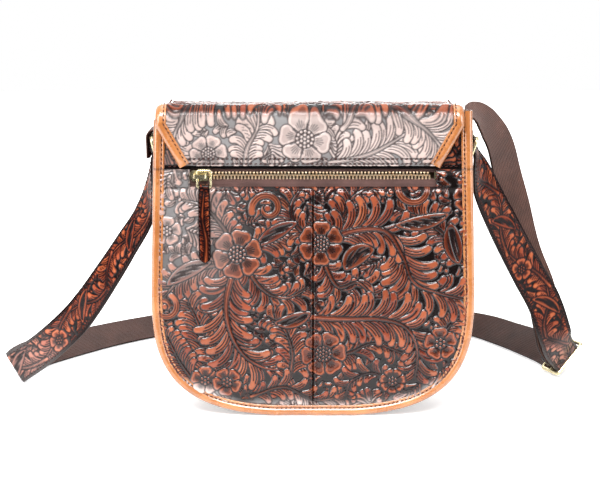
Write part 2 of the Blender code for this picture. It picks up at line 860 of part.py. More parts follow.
# The strap's route. Each station has a place and the direction of its width.
left_run_shares = (
    (0.0680, 0.1139, 0.3006, (-0.50, 0.82, 0.27)),
    (0.2023, 0.2019, 0.4423, (-0.55, 0.75, 0.36)),
    (0.3364, 0.3434, 0.5712, (-0.59, 0.68, 0.44)),
    (0.4722, 0.5321, 0.6949, (-0.62, 0.60, 0.51)),
    (0.5795, 0.6898, 0.7805, (-0.65, 0.51, 0.57)),
    (0.8350, 0.8961, 0.9282, (-0.65, 0.44, 0.62)),
    (0.9523, 0.9609, 0.9787, (-0.67, 0.29, 0.68)),
)
throat_shares = (0.78, 0.7)
floor_run_shares = (
    (-1.0, 0.225, 30.0),
    (-0.988, 0.32, 37.0),
    (-0.953, 0.416, 46.0),
    (-0.868, 0.534, 55.0),
    (-0.743, 0.679, 60.0),
    (-0.607, 0.798, 62.0),
    (-0.39, 0.93, 60.0),
    (-0.12, 1.0, 58.0),
    (0.16, 1.0, 57.0),
    (0.41, 0.935, 58.0),
    (0.61, 0.815, 57.0),
    (0.695, 0.69, 54.0),
    (0.762, 0.565, 46.0),
    (0.820, 0.435, 42.0),
)
rise_shares = (
    (0.1037, 0.1673, 0.0673, (0.67, 0.05, 0.72)),
    (0.1467, 0.2800, 0.1239, (0.80, 0.03, 0.59)),
    (0.2880, 0.4350, 0.2880, (0.90, 0.09, 0.43)),
    (0.4417, 0.5338, 0.4087, (0.87, 0.30, 0.40)),
    (0.6963, 0.7092, 0.6201, (0.81, 0.49, 0.33)),
    (0.8904, 0.8943, 0.7966, (0.68, 0.69, 0.26)),
    (0.9511, 0.9694, 0.8764, (0.44, 0.88, 0.16)),
    (0.9845, 0.9948, 0.9283, (0.19, 0.98, 0.06)),
)
loop_rise_shares = (
    (-0.0622, -0.0007, 0.0722, (-0.05, 0.98, 0.22)),
    (-0.0620, -0.0073, 0.0930, (0.03, 0.96, 0.28)),
    (-0.0221, -0.0093, 0.0967, (0.14, 0.93, 0.33)),
    (0.0212, -0.0038, 0.0881, (0.25, 0.89, 0.38)),
    (0.0644, 0.0148, 0.0707, (0.37, 0.83, 0.42)),
    (0.1156, 0.0510, 0.0455, (0.48, 0.76, 0.44)),
    (0.2094, 0.1463, -0.0144, (0.60, 0.67, 0.45)),
    (0.2764, 0.2590, -0.0812, (0.69, 0.57, 0.45)),
    (0.3491, 0.4080, -0.1898, (0.76, 0.49, 0.44)),
    (0.4357, 0.5048, -0.3132, (0.79, 0.43, 0.43)),
    (0.5746, 0.6565, -0.5209, (0.81, 0.40, 0.43)),
    (0.7300, 0.7264, -0.6846, (0.82, 0.39, 0.43)),
    (0.8180, 0.8172, -0.8321, (0.81, 0.39, 0.44)),
)


def between(first, last, shares):
    """A place part of the way from one to another, by a share on each axis."""
    return tuple(a + (b - a) * share for a, b, share in zip(first, last, shares))


def arc_stations(centre, radius, start, end, first, second, width, steps):
    """Stations on an arc about a centre, from one angle to another on two directions."""
    stations = []
    for k in range(steps + 1):
        angle = start + (end - start) * k / steps
        place = Vector(centre) + first * radius * math.cos(angle) + second * radius * math.sin(angle)
        stations.append((place, width))
    return stations


def glide_frame():
    """Directions of the tri-glide: along the strap, across it, and the way it faces."""
    along = Vector((math.cos(glide_heading), math.sin(glide_heading), 0))
    outward = Vector((-along.y, along.x, 0))
    across = outward * math.sin(glide_lean) + Vector((0, 0, math.cos(glide_lean)))
    face = along.cross(across)
    return along, across, face


glide_along, glide_across, glide_face = glide_frame()
end_radius = glide_wire + turning_gap + strap_half
turn_radius = end_radius + strap_thickness + turning_gap
glide_reach = turn_radius + strap_half + turning_gap + glide_wire + glide_room
strap_lift = strap_width / 2 * math.cos(glide_lean) + strap_half * math.sin(glide_lean) + strap_floor_gap
bar_clearance = ring_wire + turning_gap + chape_leather + piece_gap + strap_half
glide_side = strap_spread - glide_spread_inset
glide_forward = strap_reach * glide_forward_share
glide_centre = Vector((glide_side, glide_forward, strap_lift + turn_radius * glide_face.z))


def floor_station(share_x, share_y, lean, heading):
    """The strap standing on its lower edge, its upper edge leaning outward."""
    lean = math.radians(lean)
    outward = Vector((-heading.y, heading.x, 0))
    width = outward * math.sin(lean) + Vector((0, 0, math.cos(lean)))
    lift = strap_width / 2 * math.cos(lean) + strap_half * math.sin(lean) + strap_floor_gap
    place = Vector((share_x * strap_spread, share_y * strap_reach, 0))
    place += outward * (strap_width / 2 * math.sin(lean))
    place.z = lift
    return place, width


def floor_stations():
    flat = [Vector((x * strap_spread, y * strap_reach, 0)) for x, y, lean in floor_run_shares]
    stations = []
    for i, (x, y, lean) in enumerate(floor_run_shares):
        after = flat[min(i + 1, len(flat) - 1)]
        before = flat[max(i - 1, 0)]
        stations.append(floor_station(x, y, lean, (after - before).normalized()))
    return stations


def strap_stations():
    """The strap from its sewn tail at the left ring round to its sewn end on the tri-glide."""
    level = Vector((0, 1, 0))
    right = Vector((1, 0, 0))
    up = Vector((0, 0, 1))
    left_ring = ring_arc(-1)
    right_ring = ring_arc(1)
    wrap = ring_wire + turning_gap + strap_half
    loose = strap_slack * 2 / 3
    crown = left_ring + right * loose + up * loose
    tail = left_ring - right * (wrap + piece_gap) - up * strap_tail_drop
    tail_middle = left_ring - right * (wrap + piece_gap) - up * (strap_tail_drop / 2)
    rough = [(tail, level), (tail_middle, level)]
    arc = arc_stations(crown, wrap + strap_slack, math.pi, 0, right, up, level, strap_arc_steps)
    floor = floor_stations()
    landing = floor[0][0]
    run = [(Vector(between(left_ring, landing, row[:3])), Vector(row[3])) for row in left_run_shares]
    leg = glide_centre - glide_face * turn_radius
    approach = [(leg - glide_along * reach, glide_across) for reach in (glide_reach + strap_half, end_radius)]
    turn = arc_stations(
        glide_centre, turn_radius, -math.pi / 2, 0, glide_along, glide_face, glide_across, strap_arc_steps
    )
    foot = turn[-1][0]
    rise = [(Vector(between(foot, right_ring, row[:3])), Vector(row[3])) for row in rise_shares]
    throat = right_ring - right * (wrap * throat_shares[0]) - up * (wrap * throat_shares[1])
    hip = Vector((-ring_bar_x - bar_clearance, 0, ring_bar_height))
    loop = []
    span = Vector(glide_centre) - right_ring
    for across, back, climb, width in loop_rise_shares:
        place = right_ring + Vector((span.x * across, span.y * back, -span.z * climb))
        loop.append((place, Vector(width)))
    settle = glide_centre + glide_along * end_radius + glide_face * (2 * strap_width / 3)
    end_arc = arc_stations(
        glide_centre, end_radius, 0, -math.pi, glide_along, glide_face, glide_across, 2 * strap_arc_steps
    )
    stub = glide_centre - glide_along * end_radius + glide_face * (strap_width / 2)
    return [
        rough,
        arc,
        [(hip, level)] + run + floor + approach,
        turn,
        rise + [(throat, level)] + loop + [(settle, glide_across)],
        end_arc,
        [(stub, glide_across)],
    ]


def smooth_route(parts):
    """A smooth curve through the stations; arcs keep their own points."""
    stations = []
    fixed = []
    for k, part in enumerate(parts):
        stations += part
        fixed += [k % 2 == 1] * len(part)
    places = np.array([tuple(place) for place, width in stations])
    widths = np.array([tuple(width) for place, width in stations])
    route = [places[0]]
    across = [widths[0]]
    last = len(places) - 1
    for i in range(last):
        p0, p1, p2, p3 = (places[min(max(j, 0), last)] for j in (i - 1, i, i + 1, i + 2))
        chord = np.linalg.norm(p2 - p1)
        before = max(np.linalg.norm(p1 - p0), chord / 4)
        after = max(np.linalg.norm(p3 - p2), chord / 4)
        slope1 = ((p1 - p0) / before + (p2 - p1) / chord) / 2 * chord
        slope2 = ((p2 - p1) / chord + (p3 - p2) / after) / 2 * chord
        steps = 1 if fixed[i] and fixed[i + 1] else max(1, round(chord / strap_spacing))
        for k in range(1, steps + 1):
            t = k / steps
            route.append(
                (2 * t**3 - 3 * t**2 + 1) * p1
                + (t**3 - 2 * t**2 + t) * slope1
                + (3 * t**2 - 2 * t**3) * p2
                + (t**3 - t**2) * slope2
            )
            across.append(widths[i] * (1 - t) + widths[i + 1] * t)
    return np.array(route), np.array(across)


def strap_layer(route, across, low, high):
    """A flat strip along the route, between two heights from its middle towards the outside."""
    along = np.gradient(route, axis=0)
    along /= np.linalg.norm(along, axis=1)[:, None]
    width = across - along * np.sum(across * along, axis=1)[:, None]
    width /= np.linalg.norm(width, axis=1)[:, None]
    outward = np.cross(width, along)
    half = width * strap_width / 2
    corners = (half + outward * high, -half + outward * high, -half + outward * low, half + outward * low)
    rings = [[route[i] + corner[i] for corner in corners] for i in range(len(route))]
    return mesh_of(rings, split=((0, True), (2, False)))


def make_strap():
    route, across = smooth_route(strap_stations())
    length = np.linalg.norm(np.diff(route, axis=0), axis=1).sum()
    print("strap length in metres:", round(float(length), 3))
    outer = strap_layer(route, across, strap_half - strap_leather, strap_half)
    add_solid("strap_leather", outer, "tooled_leather")
    inner = strap_layer(route, across, -strap_half, strap_webbing - strap_half)
    add_solid("strap_webbing", inner, "webbing")


def make_glide():
    """The tri-glide: a wire frame with a middle bar."""
    points = loop_points(glide_half_width, glide_reach, glide_corner)
    frame = wire_loop(points, glide_centre, glide_across, glide_along, glide_wire)
    glide = add_solid("strap_slider", frame, "antique_brass")
    half = glide_across * glide_half_width
    combine(glide, rod(glide_centre - half, glide_centre + half, glide_wire - glide_bar_inset, 12), "UNION")
    smooth(glide)


# Assembly
flap_top_hinge = carrier(
    "flap_top_hinge", flap_place(flap_shift, back_fold_s, flap_layers), bag
)
flap_front_hinge = carrier(
    "flap_front_hinge", flap_place(flap_shift, front_fold_s, flap_layers), flap_top_hinge
)
zip_slide = carrier("zip_slide", (slider_x, -tooth_face, zip_height), bag)
zip_ring_pivot = carrier("zip_ring_pivot", (ring_leg_x, -ring_leg_y, zip_height), zip_slide)
zip_pull_pivot = carrier("zip_pull_pivot", (pull_bar_x, -ring_leg_y, pull_bar_z), zip_ring_pivot)
left_ring_pivot = carrier("left_ring_pivot", (-ring_bar_x, 0, ring_bar_height), bag)
right_ring_pivot = carrier("right_ring_pivot", (ring_bar_x, 0, ring_bar_height), bag)

make_back_panels()
make_front_panel()
make_gusset()
make_rim("back_rim", -1)
make_rim("front_rim", 1)
make_linings()
make_zip()
make_slider(zip_slide)
make_pull(zip_ring_pivot, zip_pull_pivot)
make_flap(flap_top_hinge, flap_front_hinge)
make_snap(flap_front_hinge)
for ring_side, pivot in ((-1, left_ring_pivot), (1, right_ring_pivot)):
    make_ring(ring_side, pivot)
    make_chape(ring_side)
make_strap()
make_glide()
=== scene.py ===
# Dressing of the tooled leather sling bag: embossed panels, bound edges, flap, zip, strap and brass.
# Sizes are millimetres in the bag's own frame (y = 0 in the middle of the bag), made metres at the mesh.
import math

import bpy
import numpy as np
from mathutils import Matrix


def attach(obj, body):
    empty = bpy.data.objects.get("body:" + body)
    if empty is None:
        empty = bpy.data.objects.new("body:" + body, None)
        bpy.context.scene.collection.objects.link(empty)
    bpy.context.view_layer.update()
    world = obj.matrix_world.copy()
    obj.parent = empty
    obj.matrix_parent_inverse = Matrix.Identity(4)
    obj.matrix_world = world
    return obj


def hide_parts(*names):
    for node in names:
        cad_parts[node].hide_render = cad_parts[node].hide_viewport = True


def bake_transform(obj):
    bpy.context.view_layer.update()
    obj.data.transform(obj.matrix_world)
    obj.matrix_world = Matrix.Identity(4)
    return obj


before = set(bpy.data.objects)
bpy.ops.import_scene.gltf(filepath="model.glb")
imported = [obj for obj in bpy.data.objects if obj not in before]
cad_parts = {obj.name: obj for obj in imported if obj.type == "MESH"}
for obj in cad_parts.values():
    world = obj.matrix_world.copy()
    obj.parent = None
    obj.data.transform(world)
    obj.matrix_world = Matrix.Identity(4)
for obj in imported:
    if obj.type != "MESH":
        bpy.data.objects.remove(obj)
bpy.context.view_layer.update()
random = np.random.default_rng(23)
print("frame loaded")

bag = {
    "middleY": 33.55,
    "halfWidth": 132.5,
    "shoulder": 127.5,
    "height": 247.5,
    "curve": 105.0,
    "foot": 32.0,
    "power": 3.0,
    "panelFace": 35.5,
    "seamHeight": 207.5,
    "windowBottom": 193.0,
    "windowHalf": 99.0,
    "relief": 1.15,
}

# Camera at the photo's viewing angle
camera = {
    "place": (0, -1.270, 0.402), "target": (0, 0, 0.125), "lens": 93.18, "shift": (-13 / 600, 19.88 / 600)
}


def aim(thing, place, target):
    # turns the thing's -Z towards the target, with its Y upward
    place = np.array(place, float) + (0, bag["middleY"] / 1000, 0)
    target = np.array(target, float) + (0, bag["middleY"] / 1000, 0)
    back = (place - target) / np.linalg.norm(place - target)
    across = np.cross((0, 0, 1), back)
    across = across / np.linalg.norm(across) if np.linalg.norm(across) > 1e-6 else np.array((1.0, 0, 0))
    up = np.cross(back, across)
    pose = np.eye(4)
    pose[:3, 0], pose[:3, 1], pose[:3, 2], pose[:3, 3] = across, up, back, place
    thing.matrix_world = [list(row) for row in pose.T]


def link(thing):
    bpy.context.scene.collection.objects.link(thing)
    return thing


photoCamera = link(bpy.data.objects.new("photo_camera", bpy.data.cameras.new("photo_camera")))
photoCamera.data.sensor_width = 36
photoCamera.data.lens = camera["lens"]
photoCamera.data.shift_x, photoCamera.data.shift_y = camera["shift"]
photoCamera.data.clip_start = 0.01
aim(photoCamera, camera["place"], camera["target"])
bpy.context.scene.camera = photoCamera


# Meshes
def gridFaces(rows, columns, around=False, start=0):
    # quads of a grid of rows x columns points; around joins the last column to the first
    r = np.arange(rows - 1)[:, None]
    c = np.arange(columns if around else columns - 1)[None, :]
    n = (c + 1) % columns
    quads = np.stack(
        [r * columns + c, r * columns + n, (r + 1) * columns + n, (r + 1) * columns + c], axis=-1
    )
    return quads.reshape(-1, 4) + start


def tubeFaces(rows, columns):
    # faces of a closed strip or tube: quads round it, and a cap on each end
    last = (rows - 1) * columns
    caps = [list(range(columns))[::-1], list(range(last, last + columns))]
    return gridFaces(rows, columns, around=True), caps


def boxVolume(a, b, c):
    # six times the volume of the pyramids from the origin to triangles, summed
    return np.einsum("ij,ij->i", a, np.cross(b, c)).sum()


def makePiece(name, points, faces, material, body, replaces=(), values=None, uv=None, crease=60):
    # points in the bag's millimetres; faces are quads and caps; values are attributes, one number to a point
    points = np.asarray(points, float).reshape(-1, 3)
    quads, caps = faces
    a, b, c, d = (points[quads[:, k]] - points.mean(axis=0) for k in range(4))
    volume = boxVolume(a, b, c) + boxVolume(a, c, d)
    for cap in caps:
        ring = points[cap] - points.mean(axis=0)
        volume += boxVolume(np.broadcast_to(ring[0], ring[1:-1].shape), ring[1:-1], ring[2:])
    # a piece that comes out inside out is turned
    if volume < 0:
        quads = quads[:, ::-1]
        caps = [cap[::-1] for cap in caps]
    corners = np.concatenate([quads.ravel(), *caps]).astype(np.int32)
    sizes = np.array([4] * len(quads) + [len(cap) for cap in caps])
    mesh = bpy.data.meshes.new(name)
    mesh.vertices.add(len(points))
    mesh.vertices.foreach_set("co", ((points + (0, bag["middleY"], 0)) / 1000).astype(np.float32).ravel())
    mesh.loops.add(len(corners))
    mesh.loops.foreach_set("vertex_index", corners)
    mesh.polygons.add(len(sizes))
    mesh.polygons.foreach_set("loop_start", (np.cumsum(sizes) - sizes).astype(np.int32))
    mesh.update(calc_edges=True)
    mesh.validate()
    mesh.polygons.foreach_set("use_smooth", np.ones(len(mesh.polygons), bool))
    if crease:
        mesh.set_sharp_from_angle(angle=math.radians(crease))
    for key, value in (values or {}).items():
        mesh.attributes.new(key, "FLOAT", "POINT").data.foreach_set(
            "value", np.asarray(value, np.float32).ravel()
        )
    if uv is not None:
        order = np.zeros(len(mesh.loops), np.int32)
        mesh.loops.foreach_get("vertex_index", order)
        flat = np.asarray(uv, np.float32).reshape(-1, 2)[order]
        mesh.uv_layers.new(name="surface").data.foreach_set("uv", flat.ravel())
    mesh.materials.append(material)
    piece = link(bpy.data.objects.new(name, mesh))
    if isinstance(body, str):
        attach(piece, body)
    else:
        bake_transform(piece)
    if replaces:
        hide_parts(*replaces)


def shellOf(grid, depth, back):
    # closes a grid of front points: a wall of that depth along the back vector, then one flat face behind
    rows, columns = grid.shape[:2]
    count = rows * columns
    quads = gridFaces(rows, columns)
    index = np.arange(count).reshape(rows, columns)
    ring = np.concatenate([index[0, :], index[1:, -1], index[-1, -2::-1], index[-2:0:-1, 0]])
    wall = grid.reshape(-1, 3)[ring] + np.array(back) * depth
    points = np.concatenate([grid.reshape(-1, 3), wall])
    n = len(ring)
    k = np.arange(n)
    sides = np.stack([ring[k], count + k, count + (k + 1) % n, ring[(k + 1) % n]], axis=1)
    return points, (np.concatenate([quads, sides]), [list(range(count, count + n))]), n


def makeSheet(name, outer, inner, material, body, nodes, values=None, flat=None, crease=60):
    # a sheet with two faces, plain on the inner one; flat is its map in millimetres
    ring = np.concatenate([outer, inner[:, ::-1]], axis=1)
    plain = np.zeros(inner.shape[:2])
    values = {key: np.concatenate([v, plain], axis=1) for key, v in (values or {}).items()}
    uv = None if flat is None else np.concatenate([flat, flat[:, ::-1]], axis=1) / 1000
    makePiece(name, ring, tubeFaces(*ring.shape[:2]), material, body, nodes, values, uv, crease)


def sheetRows(z, start, stop, columns):
    # even steps from start to stop across a sheet, at each height z
    x = np.linspace(start, stop, columns, axis=-1)
    return x, np.broadcast_to(z[:, None], x.shape)


def lengthAlong(path):
    return np.concatenate([[0], np.cumsum(np.linalg.norm(np.diff(path, axis=0), axis=1))])


def softened(ways, times):
    # directions along a line, each mixed with its neighbours
    for _ in range(times):
        ways[1:-1] = unit(ways[:-2] + 2 * ways[1:-1] + ways[2:])
    return ways


def unit(v):
    return v / np.maximum(np.linalg.norm(v, axis=-1, keepdims=True), 1e-9)


def smoothStep(t):
    t = np.clip(t, 0, 1)
    return t * t * (3 - 2 * t)


def signedPower(v, power):
    return np.sign(v) * np.abs(v) ** power


def resample(path, spacing):
    # points evenly spaced by length along a polyline
    length = lengthAlong(path)
    at = np.linspace(0, length[-1], max(2, int(round(length[-1] / spacing)) + 1))
    return np.stack([np.interp(at, length, path[:, k]) for k in range(path.shape[1])], axis=1), at


def sweep(path, first, second, profile):
    # each profile point (a, b) is carried to path + first * a + second * b
    profile = np.asarray(profile, float)
    if profile.ndim == 2:
        profile = np.broadcast_to(profile, (len(path),) + profile.shape)
    return path[:, None] + first[:, None] * profile[..., :1] + second[:, None] * profile[..., 1:]


def wobble(t, seed, size, waves=(3, 7, 13)):
    # a few sine waves of unlike length, for hand-made unevenness
    state = np.random.default_rng(seed)
    total = np.zeros_like(np.asarray(t, float))
    for wave in waves:
        total = total + state.uniform(0.4, 1.0) * np.sin(2 * math.pi * (wave * t + state.uniform()))
    return total * size / len(waves)


# Outline: superellipse corners on a flat foot, sides drawn in towards the top
def curveDrop(x):
    share = np.clip(np.abs(x) / bag["halfWidth"], 0, 1)
    return bag["curve"] * (1 - (1 - share ** bag["power"]) ** (1 / bag["power"]))


footDrop = float(curveDrop(bag["foot"]))


def sideX(height):
    share = (height - bag["curve"]) / (bag["height"] - bag["curve"])
    return bag["halfWidth"] + (bag["shoulder"] - bag["halfWidth"]) * share


def outlinePath(top, spacing, inset=0.0):
    # the outline from the left top round the foot to the right top, with inward normals
    last = math.acos((bag["foot"] / bag["halfWidth"]) ** (bag["power"] / 2))
    angle = np.linspace(last, 0, 160)
    x = bag["halfWidth"] * np.cos(angle) ** (2 / bag["power"])
    z = curveDrop(x) - footDrop
    sides = np.linspace(z[-1], top, 60)[1:]
    right = np.concatenate([[(0, 0)], np.stack([x, z], 1), np.stack([sideX(sides + footDrop), sides], 1)])
    whole = np.concatenate([right[::-1] * (-1, 1), right[1:]])
    path, at = resample(whole, spacing)
    along = unit(np.gradient(path, axis=0))
    soft = along.copy()
    for _ in range(6):
        soft[1:-1] = (soft[:-2] + soft[1:-1] * 2 + soft[2:]) / 4
    soft = unit(soft)
    normal = np.stack([-soft[:, 1], soft[:, 0]], 1)
    return path + normal * inset, normal, at


def halfAt(z, inset):
    # half-width of the outline drawn in by an inset, at heights z
    path = outlinePath(bag["height"], 1.0, inset)[0]
    right = path[len(path) // 2 :]
    order = np.maximum.accumulate(right[:, 1])
    return np.interp(z, order + np.arange(len(order)) * 1e-6, right[:, 0])


# Tooling: a height field in millimetres that stamps are pressed into, one over another
def newField(low, high, step):
    columns = int(round((high[0] - low[0]) / step)) + 1
    rows = int(round((high[1] - low[1]) / step)) + 1
    shape = (rows, columns)
    return {
        "low": low, "step": step, "size": (columns, rows), "height": np.zeros(shape, np.float32),
        "tone": np.zeros(shape, np.float32), "free": np.full(shape, 4.0, np.float32),
    }


def window(field, path, reach):
    # the part of the field within reach of a path, with its coordinates
    step, low = field["step"], field["low"]
    c0 = max(int((path[:, 0].min() - reach - low[0]) / step), 0)
    c1 = min(int((path[:, 0].max() + reach - low[0]) / step) + 2, field["size"][0])
    r0 = max(int((path[:, 1].min() - reach - low[1]) / step), 0)
    r1 = min(int((path[:, 1].max() + reach - low[1]) / step) + 2, field["size"][1])
    if c1 - c0 < 2 or r1 - r0 < 2:
        return None
    x = (low[0] + step * np.arange(c0, c1, dtype=np.float32))[None, None, :]
    z = (low[1] + step * np.arange(r0, r1, dtype=np.float32))[None, :, None]
    return (slice(r0, r1), slice(c0, c1)), x, z


def stamp(field, path, radius, height=1.0, veins=(), ladder=0, rim=0, under=False, tone=None, bevel=1.35):
    # a stroke of round sections: inside is where radius - distance to the path is positive
    path = np.asarray(path, float)
    radius = np.broadcast_to(np.asarray(radius, float), len(path))
    found = window(field, path, radius.max() + 3.2)
    if found is None:
        return
    part, x, z = found
    px, pz, pr = (v.astype(np.float32)[:, None, None] for v in (path[:, 0], path[:, 1], radius))
    inside = pr - np.sqrt((x - px) ** 2 + (z - pz) ** 2)
    best = inside.argmax(axis=0)
    depth = np.take_along_axis(inside, best[None], 0)[0]
    free = field["free"][part]
    if under:
        depth = np.minimum(depth, free - 0.55)
    along = unit(np.gradient(path, axis=0)) if len(path) > 1 else np.array([[1.0, 0.0]])
    t = best / max(len(path) - 1, 1)
    near = path[best]
    side = along[best, 0] * (z[0] - near[..., 1]) - along[best, 1] * (x[0] - near[..., 0])
    local = np.maximum(radius[best], 0.3)
    shape = height * (0.5 + 0.5 * (1 - (1 - np.clip(depth / bevel, 0, 1)) ** 2))
    if rim:
        shape = shape - 0.3 * smoothStep((depth - rim) / 0.7)
    for offset, width, cut, start, end in veins:
        span = smoothStep((t - start) / 0.08) * smoothStep((end - t) / 0.08)
        shape = shape - cut * span * np.exp(-(((side - offset * local) / width) ** 2))
    if ladder:
        rungs = 0.5 + 0.5 * np.cos(2 * math.pi * (lengthAlong(path)[best] + 0.5 * side) / ladder)
        ends = smoothStep((t - 0.12) / 0.1) * smoothStep((0.93 - t) / 0.1)
        shape = shape - 0.62 * ends * smoothStep((0.55 * local - np.abs(side)) / 0.3) * rungs
    mask = smoothStep((depth + 0.2) / 0.4)
    old = field["height"][part]
    if not under:
        old = old * (1 - smoothStep((depth + 0.8) / 0.5))
    tone = random.uniform() if tone is None else tone
    field["height"][part] = old * (1 - mask) + np.maximum(shape, 0.05) * mask
    field["tone"][part] = field["tone"][part] * (1 - mask) + tone * mask
    field["free"][part] = np.minimum(free, -depth)


def press(field, path, width, depth):
    # a cut line: the height sinks along a path
    path, _ = resample(np.asarray(path, float), 0.4)
    found = window(field, path, 2)
    if found is None:
        return
    part, x, z = found
    away = np.sqrt((x - path[:, 0, None, None]) ** 2 + (z - path[:, 1, None, None]) ** 2).min(axis=0)
    field["height"][part] *= 1 - depth * np.exp(-((away / width) ** 2))


def frond(field, start, angle, length, curl, width, under=False, hatch=False):
    # a drop that swings outward: its heading turns by curl along its length and it swells to a round tip
    t = np.linspace(0, 1, 18)
    heading = angle + curl * t**1.6
    steps = np.stack([np.cos(heading), np.sin(heading)], 1) * length / 17
    path = np.array(start) + np.concatenate([[(0, 0)], np.cumsum(steps[:-1], axis=0)])
    radius = width * (0.32 + 0.68 * np.sin(math.pi * 0.7 * t**0.85))
    outer = -1 if curl > 0 else 1
    veins = ((0.45 * outer, 0.42, 0.85, 0.05, 0.9),)
    if width > 1.7 and not hatch:
        veins += ((-0.2 * outer, 0.4, 0.8, 0.25, 0.84),)
    stamp(field, path, radius, veins=() if hatch else veins, ladder=1.7 if hatch else 0, under=under)


def acanthus(field, spine, count, length, width, sides=(1, -1), stem=1.7, curl=1.5, under=False):
    # nested fronds on both sides of a spine, laid from the tip back to the base, with the grooved stem on top
    spine = np.asarray(spine, float)
    along = unit(np.gradient(spine, axis=0))
    heading = np.arctan2(along[:, 1], along[:, 0])
    last = len(spine) - 1
    tip = int(last * 0.8)
    count = round(count * 1.5)
    frond(field, spine[tip], heading[tip], length * 0.75, 0.5 * sides[0], width * 1.05, under)
    for k in range(count):
        t = 0.9 - 0.86 * k / max(count - 1, 1)
        i = int(t * last)
        size = length * (0.62 + 0.48 * math.sin(math.pi * min(1, 0.2 + 0.8 * t)))
        for side in sides:
            turn = side * (0.3 + random.uniform(-0.1, 0.1))
            bend = side * curl * random.uniform(0.8, 1.3)
            broad = width * (0.8 + 0.36 * size / length)
            frond(
                field, spine[i], heading[i] + turn, size * random.uniform(0.85, 1.12), bend, broad, under,
                random.uniform() < 0.18,
            )
    core = np.linspace(stem, 0.6, len(spine))
    veins = tuple((side * 0.42, 0.3, 0.6, 0.0, 0.7) for side in (1, -1)) if stem > 1.2 else ()
    stamp(field, spine, core, veins=veins, under=under)


def almond(field, start, end, width, bow=0.15, under=False):
    # a pointed leaf with a raised edge, a midrib and hatching
    start, end = np.array(start, float), np.array(end, float)
    chord = end - start
    control = (start + end) / 2 + np.array((-chord[1], chord[0])) * bow
    t = np.linspace(0, 1, 20)
    path = (1 - t[:, None]) ** 2 * start + 2 * t[:, None] * (1 - t[:, None]) * control + t[:, None] ** 2 * end
    stamp(field, path, width * np.sin(math.pi * (0.05 + 0.91 * t)) ** 0.8, rim=0.9, ladder=1.7, under=under)
    stamp(field, path[1:-2], 0.42, height=0.9, under=under)


def button(field, centre, radius, rings=2, under=False):
    # a domed button covered with beads in rings
    stamp(field, [centre], [radius], height=0.4, bevel=radius * 0.6, tone=0.35, under=under)
    pitch = radius / (rings + 0.4)
    for ring in range(rings + 1):
        count = max(1, 6 * ring)
        for k in range(count):
            a = 2 * math.pi * k / count + ring * 0.5
            spot = np.array(centre) + np.array((math.cos(a), math.sin(a))) * pitch * ring
            stamp(field, [spot], [pitch * 0.40], height=1.0, bevel=pitch * 0.45, tone=0.6, under=under)


def flower(field, centre, radius, petals=6, turn=0.0, beads=2, under=False):
    # heart-shaped petals, each a union of discs, with radial cuts round a beaded button
    centre = np.array(centre, float)
    half = math.pi / petals
    way = lambda a: np.array((math.cos(a), math.sin(a)))
    for k in range(petals):
        angle = turn + 2 * half * k
        spots = [centre + way(angle) * radius * 0.35, centre + way(angle) * radius * 0.55]
        sizes = [radius * 0.16, radius * half * 0.46]
        for lobe in (-0.42, -0.2, 0.2, 0.42):
            spots.append(centre + way(angle + lobe * half) * radius * (0.72 if abs(lobe) > 0.3 else 0.70))
            sizes.append(radius * half * 0.44)
        stamp(field, spots, sizes, bevel=1.8, rim=1.9, tone=0.35 + 0.5 * random.uniform(), under=under)
        if radius > 9:
            for cut in (-0.5, -0.25, 0.0, 0.25, 0.5):
                a = angle + cut * half
                press(
                    field, centre + way(a) * radius * np.linspace(0.40, 0.68 - 0.16 * abs(cut), 6)[:, None],
                    0.36, 0.7,
                )
    button(field, centre, radius * 0.34, beads, under)


def scroll(field, centre, radius, width, start=0.0, turns=1.4, way=1, under=False):
    # a spiral whose radius shrinks steadily, ending in a bead
    t = np.linspace(0, 1, 60)
    angle = start + way * turns * 2 * math.pi * t
    r = radius * (1 - t) ** 0.85 + width * 0.7
    path = np.array(centre) + np.stack([np.cos(angle), np.sin(angle)], 1) * r[:, None]
    veins = ((0.35, 0.32, 0.65, 0.03, 0.9), (-0.35, 0.32, 0.65, 0.03, 0.7))
    stamp(field, path, np.linspace(width, width * 0.65, 60), veins=veins, under=under)
    stamp(field, [centre], [width * 0.95], under=under)


def fill(field, tries, sizes, flow):
    # sprigs and drops wherever enough ground is left, largest first, each kept clear of what is there
    low, step = np.array(field["low"]), field["step"]
    high = low + step * (np.array(field["size"]) - 1)
    top = np.array(field["size"]) - 1
    for size, count in zip(sizes, tries):
        spots = random.uniform(low, high, (count, 2))
        swings = random.uniform(-0.5, 0.5, count)
        kinds = random.integers(0, 8, count)
        for spot, swing, kind in zip(spots, swings, kinds):
            angle = flow(spot) + swing + (math.pi if kind % 2 else 0)
            way = np.array((math.cos(angle), math.sin(angle)))
            probes = spot + way * size * np.linspace(0.0, 0.9, 4)[:, None]
            ij = np.clip(((probes - low) / step).astype(int), 0, top)
            room = field["free"][ij[:, 1], ij[:, 0]]
            if room.min() < (0.8 if size < 5 else 1.3) or room.mean() < min(3.0, size * 0.25):
                continue
            turn = 1 if kind < 4 else -1
            if size > 9:
                swerve = np.array((-way[1], way[0])) * size * 0.3 * turn
                spine = vine([spot, spot + way * size * 0.6, spot + way * size * 1.1 + swerve])
                acanthus(field, spine, 4, size * 0.9, 2.5, under=True, curl=1.3, stem=1.3)
            elif size > 5.5:
                frond(field, spot, angle - 0.45 * turn, size * 1.1, -turn * 1.3, size * 0.28, True)
                frond(field, spot, angle + 0.45 * turn, size * 1.2, turn * 1.6, size * 0.28, True)
                frond(field, spot, angle, size * 1.35, turn * 0.7, size * 0.3, True, kind == 2)
            else:
                frond(field, spot, angle, size * 1.5, turn * 1.4, size * 0.55, True)


